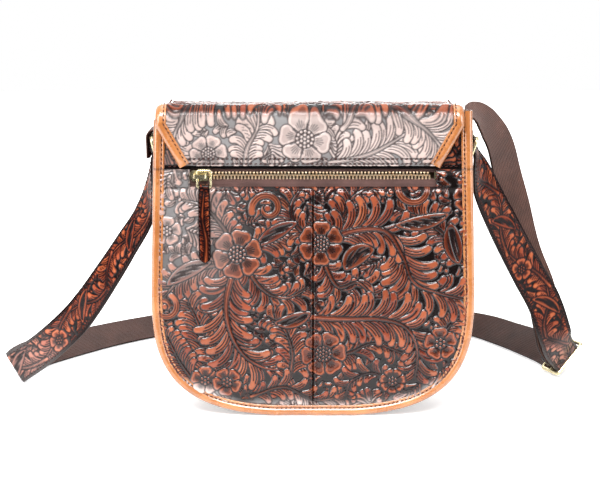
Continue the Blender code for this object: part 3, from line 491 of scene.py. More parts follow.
def finishField(field, seed):
    # softens the stamps a little, gives the ground a fine pebble, and marks the cut lines
    state = np.random.default_rng(seed)
    height, free = field["height"], field["free"]
    grain = state.random(height.shape).astype(np.float32)
    for axis in (0, 1):
        grain = (np.roll(grain, 1, axis) + grain + np.roll(grain, -1, axis)) / 3
    height = height + (grain - 0.5) * 0.14 * (height < 0.1)
    field["line"] = blurred(np.clip((0.6 - height) / 0.3, 0, 1) * smoothStep((0.95 - free) / 0.5))
    field["height"] = blurred(height)
    return field


def blurred(values):
    # each value mixed with its four neighbours
    wide = np.pad(values, 1, mode="edge")
    return (4 * values + wide[2:, 1:-1] + wide[:-2, 1:-1] + wide[1:-1, 2:] + wide[1:-1, :-2]) / 8


def readField(field, key, x, z):
    # the field at points, by bilinear interpolation
    u = (np.asarray(x) - field["low"][0]) / field["step"]
    v = (np.asarray(z) - field["low"][1]) / field["step"]
    columns, rows = field["size"]
    u, v = np.clip(u, 0, columns - 1.001), np.clip(v, 0, rows - 1.001)
    i, j = u.astype(int), v.astype(int)
    fu, fv = u - i, v - j
    data = field[key]
    below, above = (data[row, i] * (1 - fu) + data[row, i + 1] * fu for row in (j, j + 1))
    return below * (1 - fv) + above * fv


def smoothCurve(spots, steps=14):
    # Hermite segments through the spots, with the slope of the neighbours
    spots = np.array(spots, float)
    slope = np.gradient(spots, axis=0)
    t = np.linspace(0, 1, steps, endpoint=False)[None, :, None]
    a, b, sa, sb = spots[:-1, None], spots[1:, None], slope[:-1, None], slope[1:, None]
    curve = hermite(t, a, b, sa, sb)
    return np.concatenate([curve.reshape(-1, spots.shape[1]), spots[-1:]])


def hermite(t, a, b, slopeA, slopeB):
    # the cubic from a to b with those slopes at its ends, t running from 0 to 1
    start = (2 * t**3 - 3 * t**2 + 1) * a + (t**3 - 2 * t**2 + t) * slopeA
    return start + (3 * t**2 - 2 * t**3) * b + (t**3 - t**2) * slopeB


def vine(spots):
    return resample(smoothCurve(spots), 1.2)[0]


# Layout of the back's flowers, stems and leaves, as places in the photo's frame
photo = {"middle": 313, "foot": 416, "across": 0.8154, "up": 0.852}
backLeaves = (
    (((236, 262), (204, 268), (180, 280), (164, 296)), 5, 19, 2.6, 1.3, 1.8),
    (((237, 250), (222, 226), (204, 208), (184, 202)), 6, 19, 2.6, 1.3, 1.8),
    (((237, 254), (262, 288), (286, 297), (306, 288)), 6, 21, 2.7, 1.3, 2.0),
    (((237, 254), (264, 244), (284, 232), (302, 222)), 6, 18, 2.5, 1.2, 1.7),
    (((205, 380), (203, 352), (198, 324), (188, 302)), 6, 23, 2.8, 1.2, 1.9),
    (((222, 382), (216, 352), (226, 330), (222, 312)), 5, 19, 2.5, 1.2, 1.6),
    (((192, 380), (178, 360), (166, 336)), 5, 17, 2.6, 1.2, 1.5),
    (((236, 262), (226, 302), (231, 334), (248, 358), (276, 368), (304, 350)), 11, 29, 2.9, 1.5, 2.6),
    (((290, 376), (292, 350), (284, 328), (268, 316)), 5, 18, 2.6, 1.4, 1.7),
    (((318, 244), (296, 226), (292, 206), (304, 188)), 6, 18, 2.5, 1.3, 1.8),
    (((324, 244), (344, 216), (352, 200), (372, 188)), 6, 19, 2.6, 1.3, 1.8),
    (((470, 268), (448, 240), (424, 222), (396, 210)), 7, 20, 2.6, 1.4, 1.9),
    (((323, 352), (348, 352), (374, 342), (404, 352)), 6, 18, 2.5, 1.4, 1.6),
    (((322, 260), (338, 286), (358, 282), (376, 298)), 6, 18, 2.7, 1.6, 1.9),
    (((441, 342), (452, 322), (468, 312)), 4, 15, 2.4, 1.3, 1.4),
    (
        ((322, 244), (352, 232), (384, 232), (402, 256), (414, 282), (438, 292), (470, 300)), 11, 29, 2.9,
        1.5, 2.6,
    ),
    (((308, 316), (344, 318), (380, 318), (406, 326), (418, 348), (416, 380)), 10, 27, 2.8, 1.5, 2.4),
    (((250, 396), (284, 386), (316, 400), (356, 392)), 6, 15, 2.4, 1.2, 1.5),
    (((394, 380), (372, 372), (352, 380), (346, 396)), 4, 14, 2.3, 1.3, 1.4),
)
backAlmonds = (
    ((210, 262), (168, 284), 6.2, -0.12), ((446, 216), (396, 226), 6.0, 0.12),
    ((276, 322), (310, 312), 5.8, -0.15), ((458, 262), (450, 226), 7.4, 0.1),
    ((258, 246), (296, 224), 5.8, 0.1), ((346, 268), (372, 250), 8.0, 0.3),
)
backScrolls = (
    ((414, 190), 13, 3.0, 2.4, 1.3, 1), ((164, 306), 9, 2.7, 1.0, 1.3, -1),
    ((268, 210), 11, 3.0, 3.4, 1.1, -1),
)
backFlowers = (
    ((237.6, 254.4), 21.5, 6, 0.3, 2), ((321, 244), 19.5, 6, 0.5, 2), ((323.6, 352.7), 20.0, 6, 0.1, 2),
    ((203.8, 379.4), 12.5, 5, 0.3, 1), ((226, 381), 12.5, 5, 0.8, 1), ((441.5, 342.4), 14.0, 5, 0.4, 1),
    ((393.7, 380), 12.0, 7, 0.2, 1), ((466, 200), 12.0, 5, 0.2, 1), ((168, 232), 12.0, 5, 0.2, 1),
)
fillSizes = (15.0, 11.0, 8.0, 6.0, 4.6)


def photoPlace(spot):
    return np.array(((spot[0] - photo["middle"]) * photo["across"], (photo["foot"] - spot[1]) * photo["up"]))


def toolBackPanel():
    field = newField((-134.0, -2.0), (134.0, 252.0), 0.42)
    for spots, count, length, width, curl, stem in backLeaves:
        acanthus(
            field, vine([photoPlace(spot) for spot in spots]), count, length, width, curl=curl, stem=stem
        )
    for start, end, width, bow in backAlmonds:
        almond(field, photoPlace(start), photoPlace(end), width, bow)
    for centre, *look in backScrolls:
        scroll(field, photoPlace(centre), *look)
    for centre, *look in backFlowers:
        flower(field, photoPlace(centre), *look)
    flow = lambda p: 0.9 * math.sin(p[0] * 0.031 + 1.0) + 1.1 * math.cos(p[1] * 0.027 + 0.4) + 0.6
    fill(field, (700, 900, 1600, 2600, 3000), fillSizes, flow)
    return finishField(field, 5)


def toolCover(low, high, step, seed, blooms, sprays=()):
    # the same tooling for another sheet: flowers at the blooms, leaves along the sprays and out of each bloom
    field = newField(low, high, step)
    state = np.random.default_rng(seed)
    for x, z, size in blooms if not sprays else ():
        for _ in range(3):
            a = state.uniform(0, 2 * math.pi)
            way = np.array((math.cos(a), math.sin(a)))
            side = np.array((-way[1], way[0])) * state.choice((-1, 1))
            base = np.array((x, z)) + way * size * 0.5
            spots = [
                base, base + way * 18 + side * 3, base + way * 30 + side * 15, base + way * 32 + side * 30
            ]
            acanthus(field, vine(spots), 7, 20, 2.7, stem=2.0)
    for spots, count, length, width in sprays:
        acanthus(field, vine(spots), count, length, width, stem=2.0)
    for x, z, size in blooms:
        flower(field, (x, z), size, 6 if size > 13 else 5, state.uniform(0, 1), 2 if size > 13 else 1)
    flow = lambda p: 1.2 * math.sin(p[0] * 0.03 + seed) + 1.0 * math.cos(p[1] * 0.028 + seed * 2)
    area = (high[0] - low[0]) * (high[1] - low[1]) / 65000
    tries = [int(n * area) for n in (600, 800, 1500, 2400, 2600)]
    fill(field, tries, fillSizes, flow)
    return finishField(field, seed)


def toolStrap(length):
    # one repeat of the strap's vine: leaves swinging from edge to edge, two hatched leaves and a flower
    field = newField((0.0, -16.0), (length, 16.0), 0.42)
    waves = (((-8, -9), (14, -7), (34, 4), (54, 10)), ((46, 11), (66, 6), (86, -5), (104, -10)),
             ((96, -10), (118, -6), (138, 5), (160, 9)), ((150, 9), (164, 2), (176, -8), (190, -9)))
    for spots in waves:
        acanthus(field, vine(spots), 6, 17, 2.4, stem=1.7, curl=1.3)
    almond(field, (20, 9), (44, -8), 5.0, 0.2)
    almond(field, (112, 8), (134, -9), 5.0, 0.2)
    flower(field, (76, -4), 10.5, 5, 0.4, 1)
    fill(field, (60, 160, 300, 500, 700), (9.0, 6.5, 5.0, 4.0, 3.0), lambda p: 0.5)
    return finishField(field, 9)


# Finishes, all procedural
def newMaterial(name, roughness, metallic=0.0, coat=0.0, coatRoughness=0.1, specular=0.5):
    material = bpy.data.materials.new(name)
    material.use_nodes = True
    nodes, links = material.node_tree.nodes, material.node_tree.links
    shader = nodes["Principled BSDF"]
    shader.inputs["Roughness"].default_value = roughness
    shader.inputs["Metallic"].default_value = metallic
    shader.inputs["Coat Weight"].default_value = coat
    shader.inputs["Coat Roughness"].default_value = coatRoughness
    shader.inputs["Specular IOR Level"].default_value = specular
    return material, nodes, links, shader


def node(nodes, kind, **settings):
    made = nodes.new("ShaderNode" + kind)
    for key, value in settings.items():
        if key in made.inputs.keys():
            made.inputs[key].default_value = value
        else:
            setattr(made, key, value)
    return made


def ramp(nodes, stops):
    made = nodes.new("ShaderNodeValToRGB")
    elements = made.color_ramp.elements
    while len(elements) < len(stops):
        elements.new(0.5)
    for element, (place, colour) in zip(elements, stops):
        element.position = place
        element.color = (*[linear(c) for c in colour], 1)
    return made


def linear(value):
    # display colour, 0 to 255, to scene colour
    value = value / 255
    return value / 12.92 if value <= 0.04045 else ((value + 0.055) / 1.055) ** 2.4


def mix(nodes, links, amount, first, second, blend="MIX"):
    made = nodes.new("ShaderNodeMix")
    made.data_type = "RGBA"
    made.blend_type = blend
    for socket, value in ((made.inputs[0], amount), (made.inputs[6], first), (made.inputs[7], second)):
        if isinstance(value, tuple):
            socket.default_value = (*[linear(c) for c in value], 1)
        elif isinstance(value, (int, float)):
            socket.default_value = value
        else:
            links.new(value, socket)
    return made.outputs[2]


def addBump(nodes, links, shader, strength, distance, height):
    bump = node(nodes, "Bump", Strength=strength, Distance=distance)
    links.new(height, bump.inputs["Height"])
    links.new(bump.outputs["Normal"], shader.inputs["Normal"])


def mapRange(nodes, links, source, fromLow, fromHigh, toLow, toHigh):
    made = node(nodes, "MapRange")
    for key, value in zip(range(1, 5), (fromLow, fromHigh, toLow, toHigh)):
        made.inputs[key].default_value = value
    links.new(source, made.inputs[0])
    return made.outputs[0]


def coloured(nodes, links, source, stops):
    # a colour ramp read at a source
    made = ramp(nodes, stops)
    links.new(source, made.inputs["Fac"])
    return made.outputs["Color"]


def texture(nodes, links, kind, where, **settings):
    made = node(nodes, kind, **settings)
    links.new(where, made.inputs["Vector"])
    return made


def attribute(nodes, key):
    return node(nodes, "Attribute", attribute_name=key).outputs["Fac"]


def tooledLeather(name, colours, specular=0.5, coat=0.3):
    # near-black ground, reddish tan raised work with dark cut lines, and a pale painted sheen (a painted
    # reflection) wherever the sheen attribute is set
    material, nodes, links, shader = newMaterial(name, 0.3, 0.0, coat, 0.08, specular)
    place = node(nodes, "TexCoord").outputs["Object"]
    relief, tone, painted_sheen, line = (attribute(nodes, key) for key in ("relief", "tone", "painted_sheen", "line"))
    broad = texture(nodes, links, "TexNoise", place, Scale=30.0, Detail=5.0, Roughness=0.62).outputs["Fac"]
    fine = texture(nodes, links, "TexNoise", place, Scale=900.0, Detail=3.0, Roughness=0.6).outputs["Fac"]
    colour = coloured(nodes, links, relief, tuple(zip((0.0, 0.3, 0.55, 0.8, 1.0), colours)))
    warm = coloured(
        nodes, links, tone, ((0.0, (206, 164, 160)), (0.5, (242, 226, 218)), (1.0, (255, 250, 234)))
    )
    base = mix(nodes, links, 0.9, colour, warm, "MULTIPLY")
    stain = coloured(nodes, links, broad, ((0.32, (176, 156, 154)), (0.6, (255, 255, 255))))
    base = mix(nodes, links, 0.8, base, stain, "MULTIPLY")
    cuts = node(nodes, "Math", operation="MULTIPLY")
    cuts.inputs[1].default_value = 0.85
    links.new(line, cuts.inputs[0])
    base = mix(nodes, links, cuts.outputs[0], base, (20, 12, 13))
    # painted sheen: pale colours that stand in for the gloss's reflection, mottled by the stain, with the cut
    # lines kept dark
    pale = coloured(nodes, links, relief, (
        (0.0, (146, 144, 144)), (0.3, (160, 155, 153)), (0.7, (192, 179, 174)), (1.0, (216, 206, 201))))
    sheenColour = mix(nodes, links, 0.35, pale, stain, "MULTIPLY")
    sheenColour = mix(nodes, links, cuts.outputs[0], sheenColour, (56, 34, 32))
    links.new(mix(nodes, links, painted_sheen, base, sheenColour), shader.inputs["Base Color"])
    links.new(mapRange(nodes, links, relief, 0.05, 0.7, 0.26, 0.2), shader.inputs["Roughness"])
    addBump(nodes, links, shader, 0.2, 0.0003, fine)
    return material


def smoothLeather(name, light, dark, roughness, coat, grain=0.3, creases=40.0, specular=0.5):
    # smooth dyed leather: mottled between two colours, burnished at the edges, with fine creases
    material, nodes, links, shader = newMaterial(name, roughness, 0.0, coat, 0.16, specular)
    place = node(nodes, "TexCoord").outputs["Object"]
    broad = texture(nodes, links, "TexNoise", place, Scale=creases, Detail=5.0, Roughness=0.62).outputs["Fac"]
    fine = texture(nodes, links, "TexVoronoi", place, Scale=700.0).outputs["Distance"]
    mottled = coloured(nodes, links, broad, ((0.3, dark), (0.7, light)))
    burnished = tuple(c * 0.55 for c in dark)
    links.new(mix(nodes, links, attribute(nodes, "wear"), mottled, burnished), shader.inputs["Base Color"])
    rough = mapRange(nodes, links, broad, 0.3, 0.7, roughness - 0.06, roughness + 0.1)
    links.new(rough, shader.inputs["Roughness"])
    addBump(nodes, links, shader, grain, 0.0002, fine)
    return material


def wovenCloth(name, light, dark, across, along, depth=0.5):
    # warp and weft: two sets of threads from the piece's own map, in metres, and plain where the wear is
    material, nodes, links, shader = newMaterial(name, 0.85, 0.0, 0.0, 0.2, 0.25)
    shader.inputs["Sheen Weight"].default_value = 0.15
    where = node(nodes, "UVMap").outputs["UV"]
    weave = node(nodes, "Math", operation="MULTIPLY")
    for k, (direction, pitch) in enumerate((("X", along), ("Y", across))):
        wave = texture(nodes, links, "TexWave", where, Scale=0.318 / pitch, Distortion=0.4, Detail=1.0)
        wave.bands_direction = direction
        links.new(wave.outputs["Fac"], weave.inputs[k])
    place = node(nodes, "TexCoord").outputs["Object"]
    broad = texture(nodes, links, "TexNoise", place, Scale=60.0, Detail=4.0).outputs["Fac"]
    colour = coloured(nodes, links, weave.outputs[0], ((0.0, dark), (0.6, light)))
    shade = coloured(nodes, links, broad, ((0.3, (205, 205, 205)), (0.7, (255, 255, 255))))
    plain = tuple(c * 0.2 + d * 0.8 for c, d in zip(light, dark))
    base = mix(nodes, links, attribute(nodes, "wear"), colour, plain)
    links.new(mix(nodes, links, 1.0, base, shade, "MULTIPLY"), shader.inputs["Base Color"])
    addBump(nodes, links, shader, depth, 0.0004, weave.outputs[0])
    return material


def agedBrass(name, bright, dull, roughness):
    # pale plated brass, polished, with a darker film and hairline scratches
    material, nodes, links, shader = newMaterial(name, roughness, 1.0)
    place = node(nodes, "TexCoord").outputs["Object"]
    film = texture(nodes, links, "TexNoise", place, Scale=140.0, Detail=5.0, Roughness=0.65).outputs["Fac"]
    stretch = texture(nodes, links, "Mapping", place)
    stretch.inputs["Scale"].default_value = (1.0, 1.0, 0.15)
    scratch = texture(
        nodes, links, "TexNoise", stretch.outputs["Vector"], Scale=1800.0, Detail=2.0
    ).outputs["Fac"]
    links.new(coloured(nodes, links, film, ((0.32, dull), (0.58, bright))), shader.inputs["Base Color"])
    rough = mapRange(nodes, links, film, 0.35, 0.65, roughness + 0.06, roughness)
    links.new(rough, shader.inputs["Roughness"])
    addBump(nodes, links, shader, 0.04, 0.0001, scratch)
    return material


tooled = tooledLeather(
    "tooled_leather", ((17, 8, 8), (26, 12, 10), (62, 30, 20), (114, 59, 40), (160, 92, 64)), 0.45, 0.2
)
flapTooled = tooledLeather(
    "flap_tooled", ((17, 8, 8), (28, 13, 10), (66, 31, 20), (112, 58, 38), (150, 84, 56)), 0.25, 0.0
)
strapTooled = tooledLeather(
    "strap_tooled", ((14, 7, 7), (26, 11, 10), (84, 36, 23), (136, 68, 42), (172, 96, 62)), 0.12, 0.04
)
tan = smoothLeather("tan_binding", (187, 121, 66), (150, 87, 42), 0.25, 0.9, 0.25, 40.0, 0.95)
gussetLeather = smoothLeather("gusset_leather", (92, 56, 42), (66, 38, 30), 0.42, 0.2)
thread = smoothLeather("waxed_thread", (66, 26, 20), (42, 16, 14), 0.5, 0.0, 0.5, 300.0, 0.2)
webbing = wovenCloth("ribbed_webbing", (114, 74, 60), (60, 37, 31), 0.0017, 0.0012, 0.8)
tape = wovenCloth("zip_tape", (120, 90, 84), (78, 54, 50), 0.0011, 0.0009, 0.6)
cloth = wovenCloth("lining_cloth", (150, 122, 98), (112, 90, 72), 0.0009, 0.0009, 0.5)
brass = agedBrass("antique_brass", (250, 238, 196), (234, 218, 172), 0.24)
toothBrass = agedBrass("tooth_brass", (255, 228, 194), (238, 200, 156), 0.32)
print("finishes made")


# Stitches: short slanted capsules along rows
stitchLook = {"pitch": 3.7, "length": 2.4, "radius": 0.42, "slant": 0.28}


def stitchRow(path, normals):
    # centres every pitch along a path, each with its direction and the way out of the leather
    length = lengthAlong(path)
    count = max(2, int(length[-1] / stitchLook["pitch"]))
    at = (np.arange(count) + 0.5) * length[-1] / count
    spots, along, out = (
        np.stack([np.interp(at, length, values[:, k]) for k in range(3)], 1)
        for values in (path, np.gradient(path, axis=0), np.broadcast_to(np.array(normals, float), path.shape))
    )
    out = unit(out)
    return spots, unit(along - out * np.sum(along * out, axis=1, keepdims=True)), out


def makeStitches(name, rows, body):
    # one small capsule for each stitch: rings of 6 points, narrowing at both ends and sinking there
    spots, along, out = (np.concatenate([row[k] for row in rows]) for k in range(3))
    along = unit(along + np.cross(out, along) * stitchLook["slant"])
    side = np.cross(out, along)
    t = np.array((-1.0, -0.72, 0.0, 0.72, 1.0)) * stitchLook["length"] / 2
    ring = np.array((0.12, 0.85, 1.0, 0.85, 0.12))[:, None] * stitchLook["radius"]
    lift = np.array((-0.5, 0.0, 0.18, 0.0, -0.5))[:, None] * stitchLook["radius"] * 1.4
    angle = np.arange(6) * math.pi / 3
    points = (
        spots[:, None, None] + along[:, None, None] * t[:, None, None]
        + side[:, None, None] * (ring * np.cos(angle))[..., None]
        + out[:, None, None] * (ring * np.sin(angle) + lift)[..., None]
    )
    first = np.arange(len(spots))[:, None] * 30
    quads = [(gridFaces(5, 6, around=True) + first[:, None]).reshape(-1, 4)]
    for start, order in ((0, (5, 4, 3, 2, 1, 0)), (24, (0, 1, 2, 3, 4, 5))):
        base = first + start + np.array(order)
        quads += [base[:, [0, 1, 2, 3]], base[:, [0, 3, 4, 5]]]
    faces = np.concatenate(quads), []
    makePiece(name, points, faces, thread, body, values={"wear": np.zeros(30 * len(spots))}, crease=0)


# Panels
panelLook = {
    "inset": 1.6, "thick": 1.7, "pillow": 1.5, "upperDrop": 0.7, "dropStart": 105, "dropRun": 45,
    "sideRun": 26, "footRun": 34, "footTuck": 1.6, "tuckRun": 22, "rimTuck": 0.5, "edgeRun": 6,
    "turnIn": 0.8, "crease": 80, "yokeRelief": 0.6, "frontRelief": 0.8, "frontSink": 1.6,
}
outward = (0.0, -1.0, 0.0)
backField = toolBackPanel()
print("back panel tooled")


def panelPoint(x, z):
    # face of a panel: flat in the middle, pillowed, drawn in near the rim and at the foot
    near = (halfAt(z, 0) - np.abs(x)) / panelLook["sideRun"]
    drop = panelLook["upperDrop"] * smoothStep((z - panelLook["dropStart"]) / panelLook["dropRun"])
    pillow = (panelLook["pillow"] - drop) * smoothStep(near) * smoothStep(z / panelLook["footRun"])
    foot = panelLook["footTuck"] * (1 - smoothStep(z / panelLook["tuckRun"]))
    return bag["panelFace"] + pillow - foot - panelLook["rimTuck"] * (1 - smoothStep(near * 3))


def paintedSheenAt(x, z):
    # where the painted sheen lies, pale colour standing in for reflection: along the bottom, and over the
    # upper left
    ripple = 0.1 * np.sin(x * 0.09) + 0.08 * np.sin(x * 0.21 + z * 0.1)
    bottom = 1 - smoothStep((z - 8 - 20 * smoothStep((np.abs(x) - 55) / 60)) / 10 + 1.5 * ripple)
    left = smoothStep((-x - 46) / 50) * smoothStep((z - 80) / 80)
    wide = smoothStep(-x / 60) * smoothStep((z - 60) / 60)
    return np.clip(0.85 * bottom + 0.5 * left + 0.06 * wide, 0, 0.9)


def tooling(field, x, z, painted_sheen):
    # the attributes the finish reads; the painted sheen lies on the ground first and on raised work last
    values = {"relief": readField(field, "height", x, z)}
    values.update((key, readField(field, key, x, z)) for key in ("tone", "line"))
    raised = np.clip(values["relief"], 0, 1)
    values["painted_sheen"] = np.clip(painted_sheen + 0 * raised, 0, 1) ** (0.85 + 0.7 * raised)
    return values


def withWall(values, count):
    # the same attributes for a closed shell, plain on its wall
    return {key: np.concatenate([v.ravel(), np.zeros(count)]) for key, v in values.items()}


def makeBackPanel(side, word):
    # a grid that follows the outline, pushed out by the tooling, and an ear of it beside the zip's window
    low, top, window = bag["windowBottom"], bag["seamHeight"], bag["windowHalf"]
    main = (np.linspace(1.6, low, 340), 0.15, 236, low, 0.2, 1.3)
    ear = (np.linspace(low - 0.3, top - 0.3, 28), window, 30, top, window, 1.2)
    points, quads, caps, values = [], [], [], []
    for z, start, columns, end, seam, seamRun in (main, ear):
        x, z = sheetRows(z, start, halfAt(z, panelLook["inset"]), columns)
        marks = tooling(backField, side * x, z, paintedSheenAt(side * x, z))
        fold = smoothStep((end - z) / panelLook["edgeRun"]) * smoothStep((x - seam) / seamRun)
        y = panelPoint(x, z) + bag["relief"] * marks["relief"] * fold - panelLook["turnIn"] * (1 - fold)
        shell, (faces, wall), count = shellOf(np.stack([side * x, -y, z], -1), panelLook["thick"], (0, 1, 0))
        offset = sum(map(len, points))
        points.append(shell)
        quads.append(faces + offset)
        caps += [[k + offset for k in cap] for cap in wall]
        values.append(withWall(marks, count))
    values = {key: np.concatenate([part[key] for part in values]) for key in values[0]}
    makePiece(
        "panel_back_" + word, np.concatenate(points), (np.concatenate(quads), caps), tooled, "bag",
        ["back_panel_" + word], values, crease=panelLook["crease"],
    )


def makeWidePanel(name, field, z, columns, painted_sheen, face, back, replaces):
    # a whole sheet across the bag: face(x, z, marks) gives its place in depth, back the way to its other side
    half = halfAt(z, panelLook["inset"])
    x, z = sheetRows(z, -half, half, columns)
    marks = tooling(field, x, z, painted_sheen(x))
    y = face(x, z, marks)
    points, faces, count = shellOf(np.stack([x, y, z], -1), panelLook["thick"], (0, back, 0))
    makePiece(
        name, points, faces, tooled, "bag", [replaces], withWall(marks, count),
        crease=panelLook["crease"],
    )


def yokeFace(x, z, marks):
    # the pattern fades out above the seam
    for key in marks:
        marks[key] = marks[key] * smoothStep((z - 210) / 1.5)
    return -(bag["panelFace"] + panelLook["yokeRelief"] * marks["relief"])


def frontFace(x, z, marks):
    return panelPoint(x, z) - panelLook["frontSink"] + panelLook["frontRelief"] * marks["relief"]


makeBackPanel(-1, "left")
makeBackPanel(1, "right")
panelTop = bag["height"] - 0.4
# the yoke carries a little painted sheen, pale colour standing in for reflection, towards its left
makeWidePanel("yoke_back", backField, np.linspace(bag["seamHeight"] + 0.1, panelTop, 56), 380,
              lambda x: 0.3 * smoothStep(-x / 90), yokeFace, 1, "back_yoke")
frontBlooms = ((-55, 60, 19), (50, 130, 19), (0, 28, 14), (-70, 180, 17))
frontField = toolCover((-134.0, -2.0), (134.0, 252.0), 0.6, 31, frontBlooms)
makeWidePanel(
    "panel_front", frontField, np.linspace(1.6, panelTop, 250), 270, lambda x: 0.0, frontFace, -1,
    "front_panel",
)
print("panels made")

# Rims: a rolled strip with a stitched lip, carried round the outline
rimProfile = np.array(
    (
        (9.4, 35.3), (9.5, 36.0), (9.2, 36.5), (8.7, 36.75), (8.1, 36.7), (7.5, 36.35), (7.0, 36.15),
        (6.5, 36.3), (5.9, 36.75), (5.0, 37.25), (4.0, 37.5), (2.9, 37.45), (1.9, 37.0), (1.0, 36.2),
        (0.4, 35.0), (0.1, 33.6), (0.1, 32.3), (0.5, 31.2), (1.3, 30.4), (2.6, 30.0), (4.2, 30.0),
        (6.0, 30.3), (6.0, 31.2), (2.0, 31.4), (1.4, 32.4), (1.4, 34.4), (2.2, 35.2),
    )
)
rimWear = np.array(
    (1, 0.8, 0.3, 0, 0, 0.25, 0.5, 0.25, 0, 0, 0, 0, 0, 0, 0, 0.1, 0.1, 0, 0, 0, 0.2, 0.6, 1, 1, 1, 1, 1)
) * 0.75
rimMiddle = np.array((4.7, 33.6))
rimStitch = np.array(((7.0, 36.3),))


def makeRim(side, word):
    # the profile carried round the outline, swelling and shrinking a little about its middle
    path, normal, at = outlinePath(bag["height"], 1.6)
    grow = 1 + wobble(at / at[-1], 3 if side < 0 else 4, 0.035, (9, 17, 31))
    profile = rimMiddle + (rimProfile - rimMiddle) * grow[:, None, None]
    spine, inward = (np.insert(v, 1, 0, axis=1) for v in (path, normal))
    across = np.broadcast_to(np.array((0.0, float(side), 0.0)), inward.shape)
    points = sweep(spine, inward, across, profile)
    if side < 0:
        # the right end stands a little higher beside the flap
        rise = 7.0 * smoothStep((spine[:, 2] - 228) / 19) * (spine[:, 0] > 0)
        points[..., 2] += rise[:, None] * smoothStep((6.9 - profile[..., 0]) / 0.6)
    mark = np.exp(-(((spine[:, 2] - bag["seamHeight"]) / 0.5) ** 2)) * 0.8
    wear = np.clip(rimWear + mark[:, None], 0, 1)
    makePiece(
        "rim_" + word, points, tubeFaces(*points.shape[:2]), tan, "bag", [word + "_rim"],
        {"wear": wear}, crease=70,
    )
    spots = sweep(spine, inward, across, rimStitch)[:, 0]
    makeStitches("rim_" + word + "_stitches", [stitchRow(spots, across)], "bag")


makeRim(-1, "back")
makeRim(1, "front")
print("rims made")

gusset = {"top": 241.0, "half": 31.8, "outer": 9.0, "inner": 10.5, "puff": 1.6, "crease": 0.25}


def makeGusset():
    # a band between the rims, puffed out by a quartic across it and creased by slanting sine waves
    path, normal, at = outlinePath(gusset["top"], 2.0)
    share = np.linspace(-1, 1, 30)
    y = share * gusset["half"]
    t = (at / at[-1])[:, None]
    puff = gusset["puff"] * (1 - share**4) * (1 + wobble(t, 8, 0.5, (5, 11, 23)))
    waves = np.sin(t * 260 + 3 * np.sin(share * 3) + 2 * np.sin(t * 40))
    crease = gusset["crease"] * waves * (1 - share**2)
    outer, inner = (
        np.stack(
            [path[:, :1] + normal[:, :1] * inset, y + 0 * inset, path[:, 1:] + normal[:, 1:] * inset], -1
        )
        for inset in (gusset["outer"] - puff + crease, gusset["inner"] + 0 * puff)
    )
    ring = np.concatenate([outer, inner[:, ::-1]], axis=1)
    wear = np.broadcast_to(np.abs(np.concatenate([share, share[::-1]])) ** 8, ring.shape[:2])
    makePiece(
        "gusset_band", ring, tubeFaces(*ring.shape[:2]), gussetLeather, "bag", ["gusset"],
        {"wear": wear},
    )


makeGusset()

# Flap, on the CAD's sheet with a fuller fold and a soft bulge
flap = {
    "shift": -2.5, "half": 123.2, "sewn": 105.5, "taper": 32.0, "bottom": 210.5, "frontBottom": 55.0,
    "curve": 92.0, "foot": 36.0, "backFace": 34.8, "frontFace": 37.1, "topFace": 250.4, "radius": 3.0,
    "fold": 3.8, "inset": 1.4, "seams": (1.7, 5.9), "seamHalf": 98,
}
# layers of the flap above its inner face
flapLayers = {
    "outer": 3.9, "inner": 2.3, "liningFace": 2.1, "liningBack": 1.2, "rimStitch": 5.2, "seamStitch": 4.55,
}
flapRise = flap["topFace"] - flap["radius"] - flap["bottom"]
flapArc = math.pi / 2 * flap["radius"]
flapTopEnd = flapRise + flapArc + flap["backFace"] + flap["frontFace"] - 2 * flap["radius"]
flapEnd = flapTopEnd + flapArc + flap["topFace"] - flap["radius"] - flap["frontBottom"]
flapSplit = (flapRise + flapArc + flapTopEnd) / 2
footShare = (1 - (flap["foot"] / flap["half"]) ** 3) ** (1 / 3)
footRest = flap["curve"] / footShare - flap["curve"]


def flapHalf(s):
    # half-width at a length: tapered over the back, straight, then the same rounded end as the body
    s = np.asarray(s, float)
    low = flap["sewn"] + (flap["half"] - flap["sewn"]) * np.clip(s / flap["taper"], -0.1, 1)
    share = np.clip((s - (flapEnd - flap["curve"])) / (flap["curve"] + footRest), 0, 1)
    return np.minimum(low, flap["half"]) * (1 - share**3) ** (1 / 3)


def flapSection():
    # the sheet's inner line in (y, z) against the CAD's length, with a larger fold, and its outward normals
    r = flap["fold"]
    arc = np.linspace(0, math.pi / 2, 16)
    backY, frontY, top = -flap["backFace"], flap["frontFace"], flap["topFace"]
    back = np.stack([np.full(40, backY), np.linspace(flap["bottom"], top - r, 40, endpoint=False)], 1)
    turn = np.stack([backY + r - r * np.cos(arc), top - r + r * np.sin(arc)], 1)
    over = np.stack([np.linspace(backY + r, frontY - r, 42)[1:-1], np.full(40, top)], 1)
    down = np.stack([frontY - r + r * np.sin(arc), top - r + r * np.cos(arc)], 1)
    front = np.stack([np.full(60, frontY), np.linspace(top - r, flap["frontBottom"], 61)[1:]], 1)
    line, at = resample(np.concatenate([back, turn, over, down, front]), 0.8)
    along = softened(unit(np.gradient(line, axis=0)), 4)
    return at * flapEnd / at[-1], line, np.stack([-along[:, 1], along[:, 0]], 1)


flapAt, flapLine, flapOut = flapSection()


# how far the sheet bulges above its inner line, and where its high fold lies
swell = {"back": 2.6, "fold": 3.8, "foldAt": 44, "sag": 1.3, "sagFrom": 58, "front": 0.8, "slack": 0.3}


def flapSwell(s, x):
    # full above the seam, high at the back fold, less towards the front fold
    back = swell["back"] * smoothStep((s + 1) / 11) * (1 - 0.7 * smoothStep((s - 14) / 26))
    top = swell["fold"] * np.exp(-(((s - swell["foldAt"]) / 10) ** 2))
    sag = swell["sag"] * smoothStep((s - swell["sagFrom"]) / 30) * smoothStep((flapTopEnd + 18 - s) / 12)
    front = swell["front"] * smoothStep((s - flapTopEnd) / 60)
    slack = swell["slack"] * np.sin(x * 0.045 + 0.6) * smoothStep(s / 20)
    return back + top - sag + front + slack


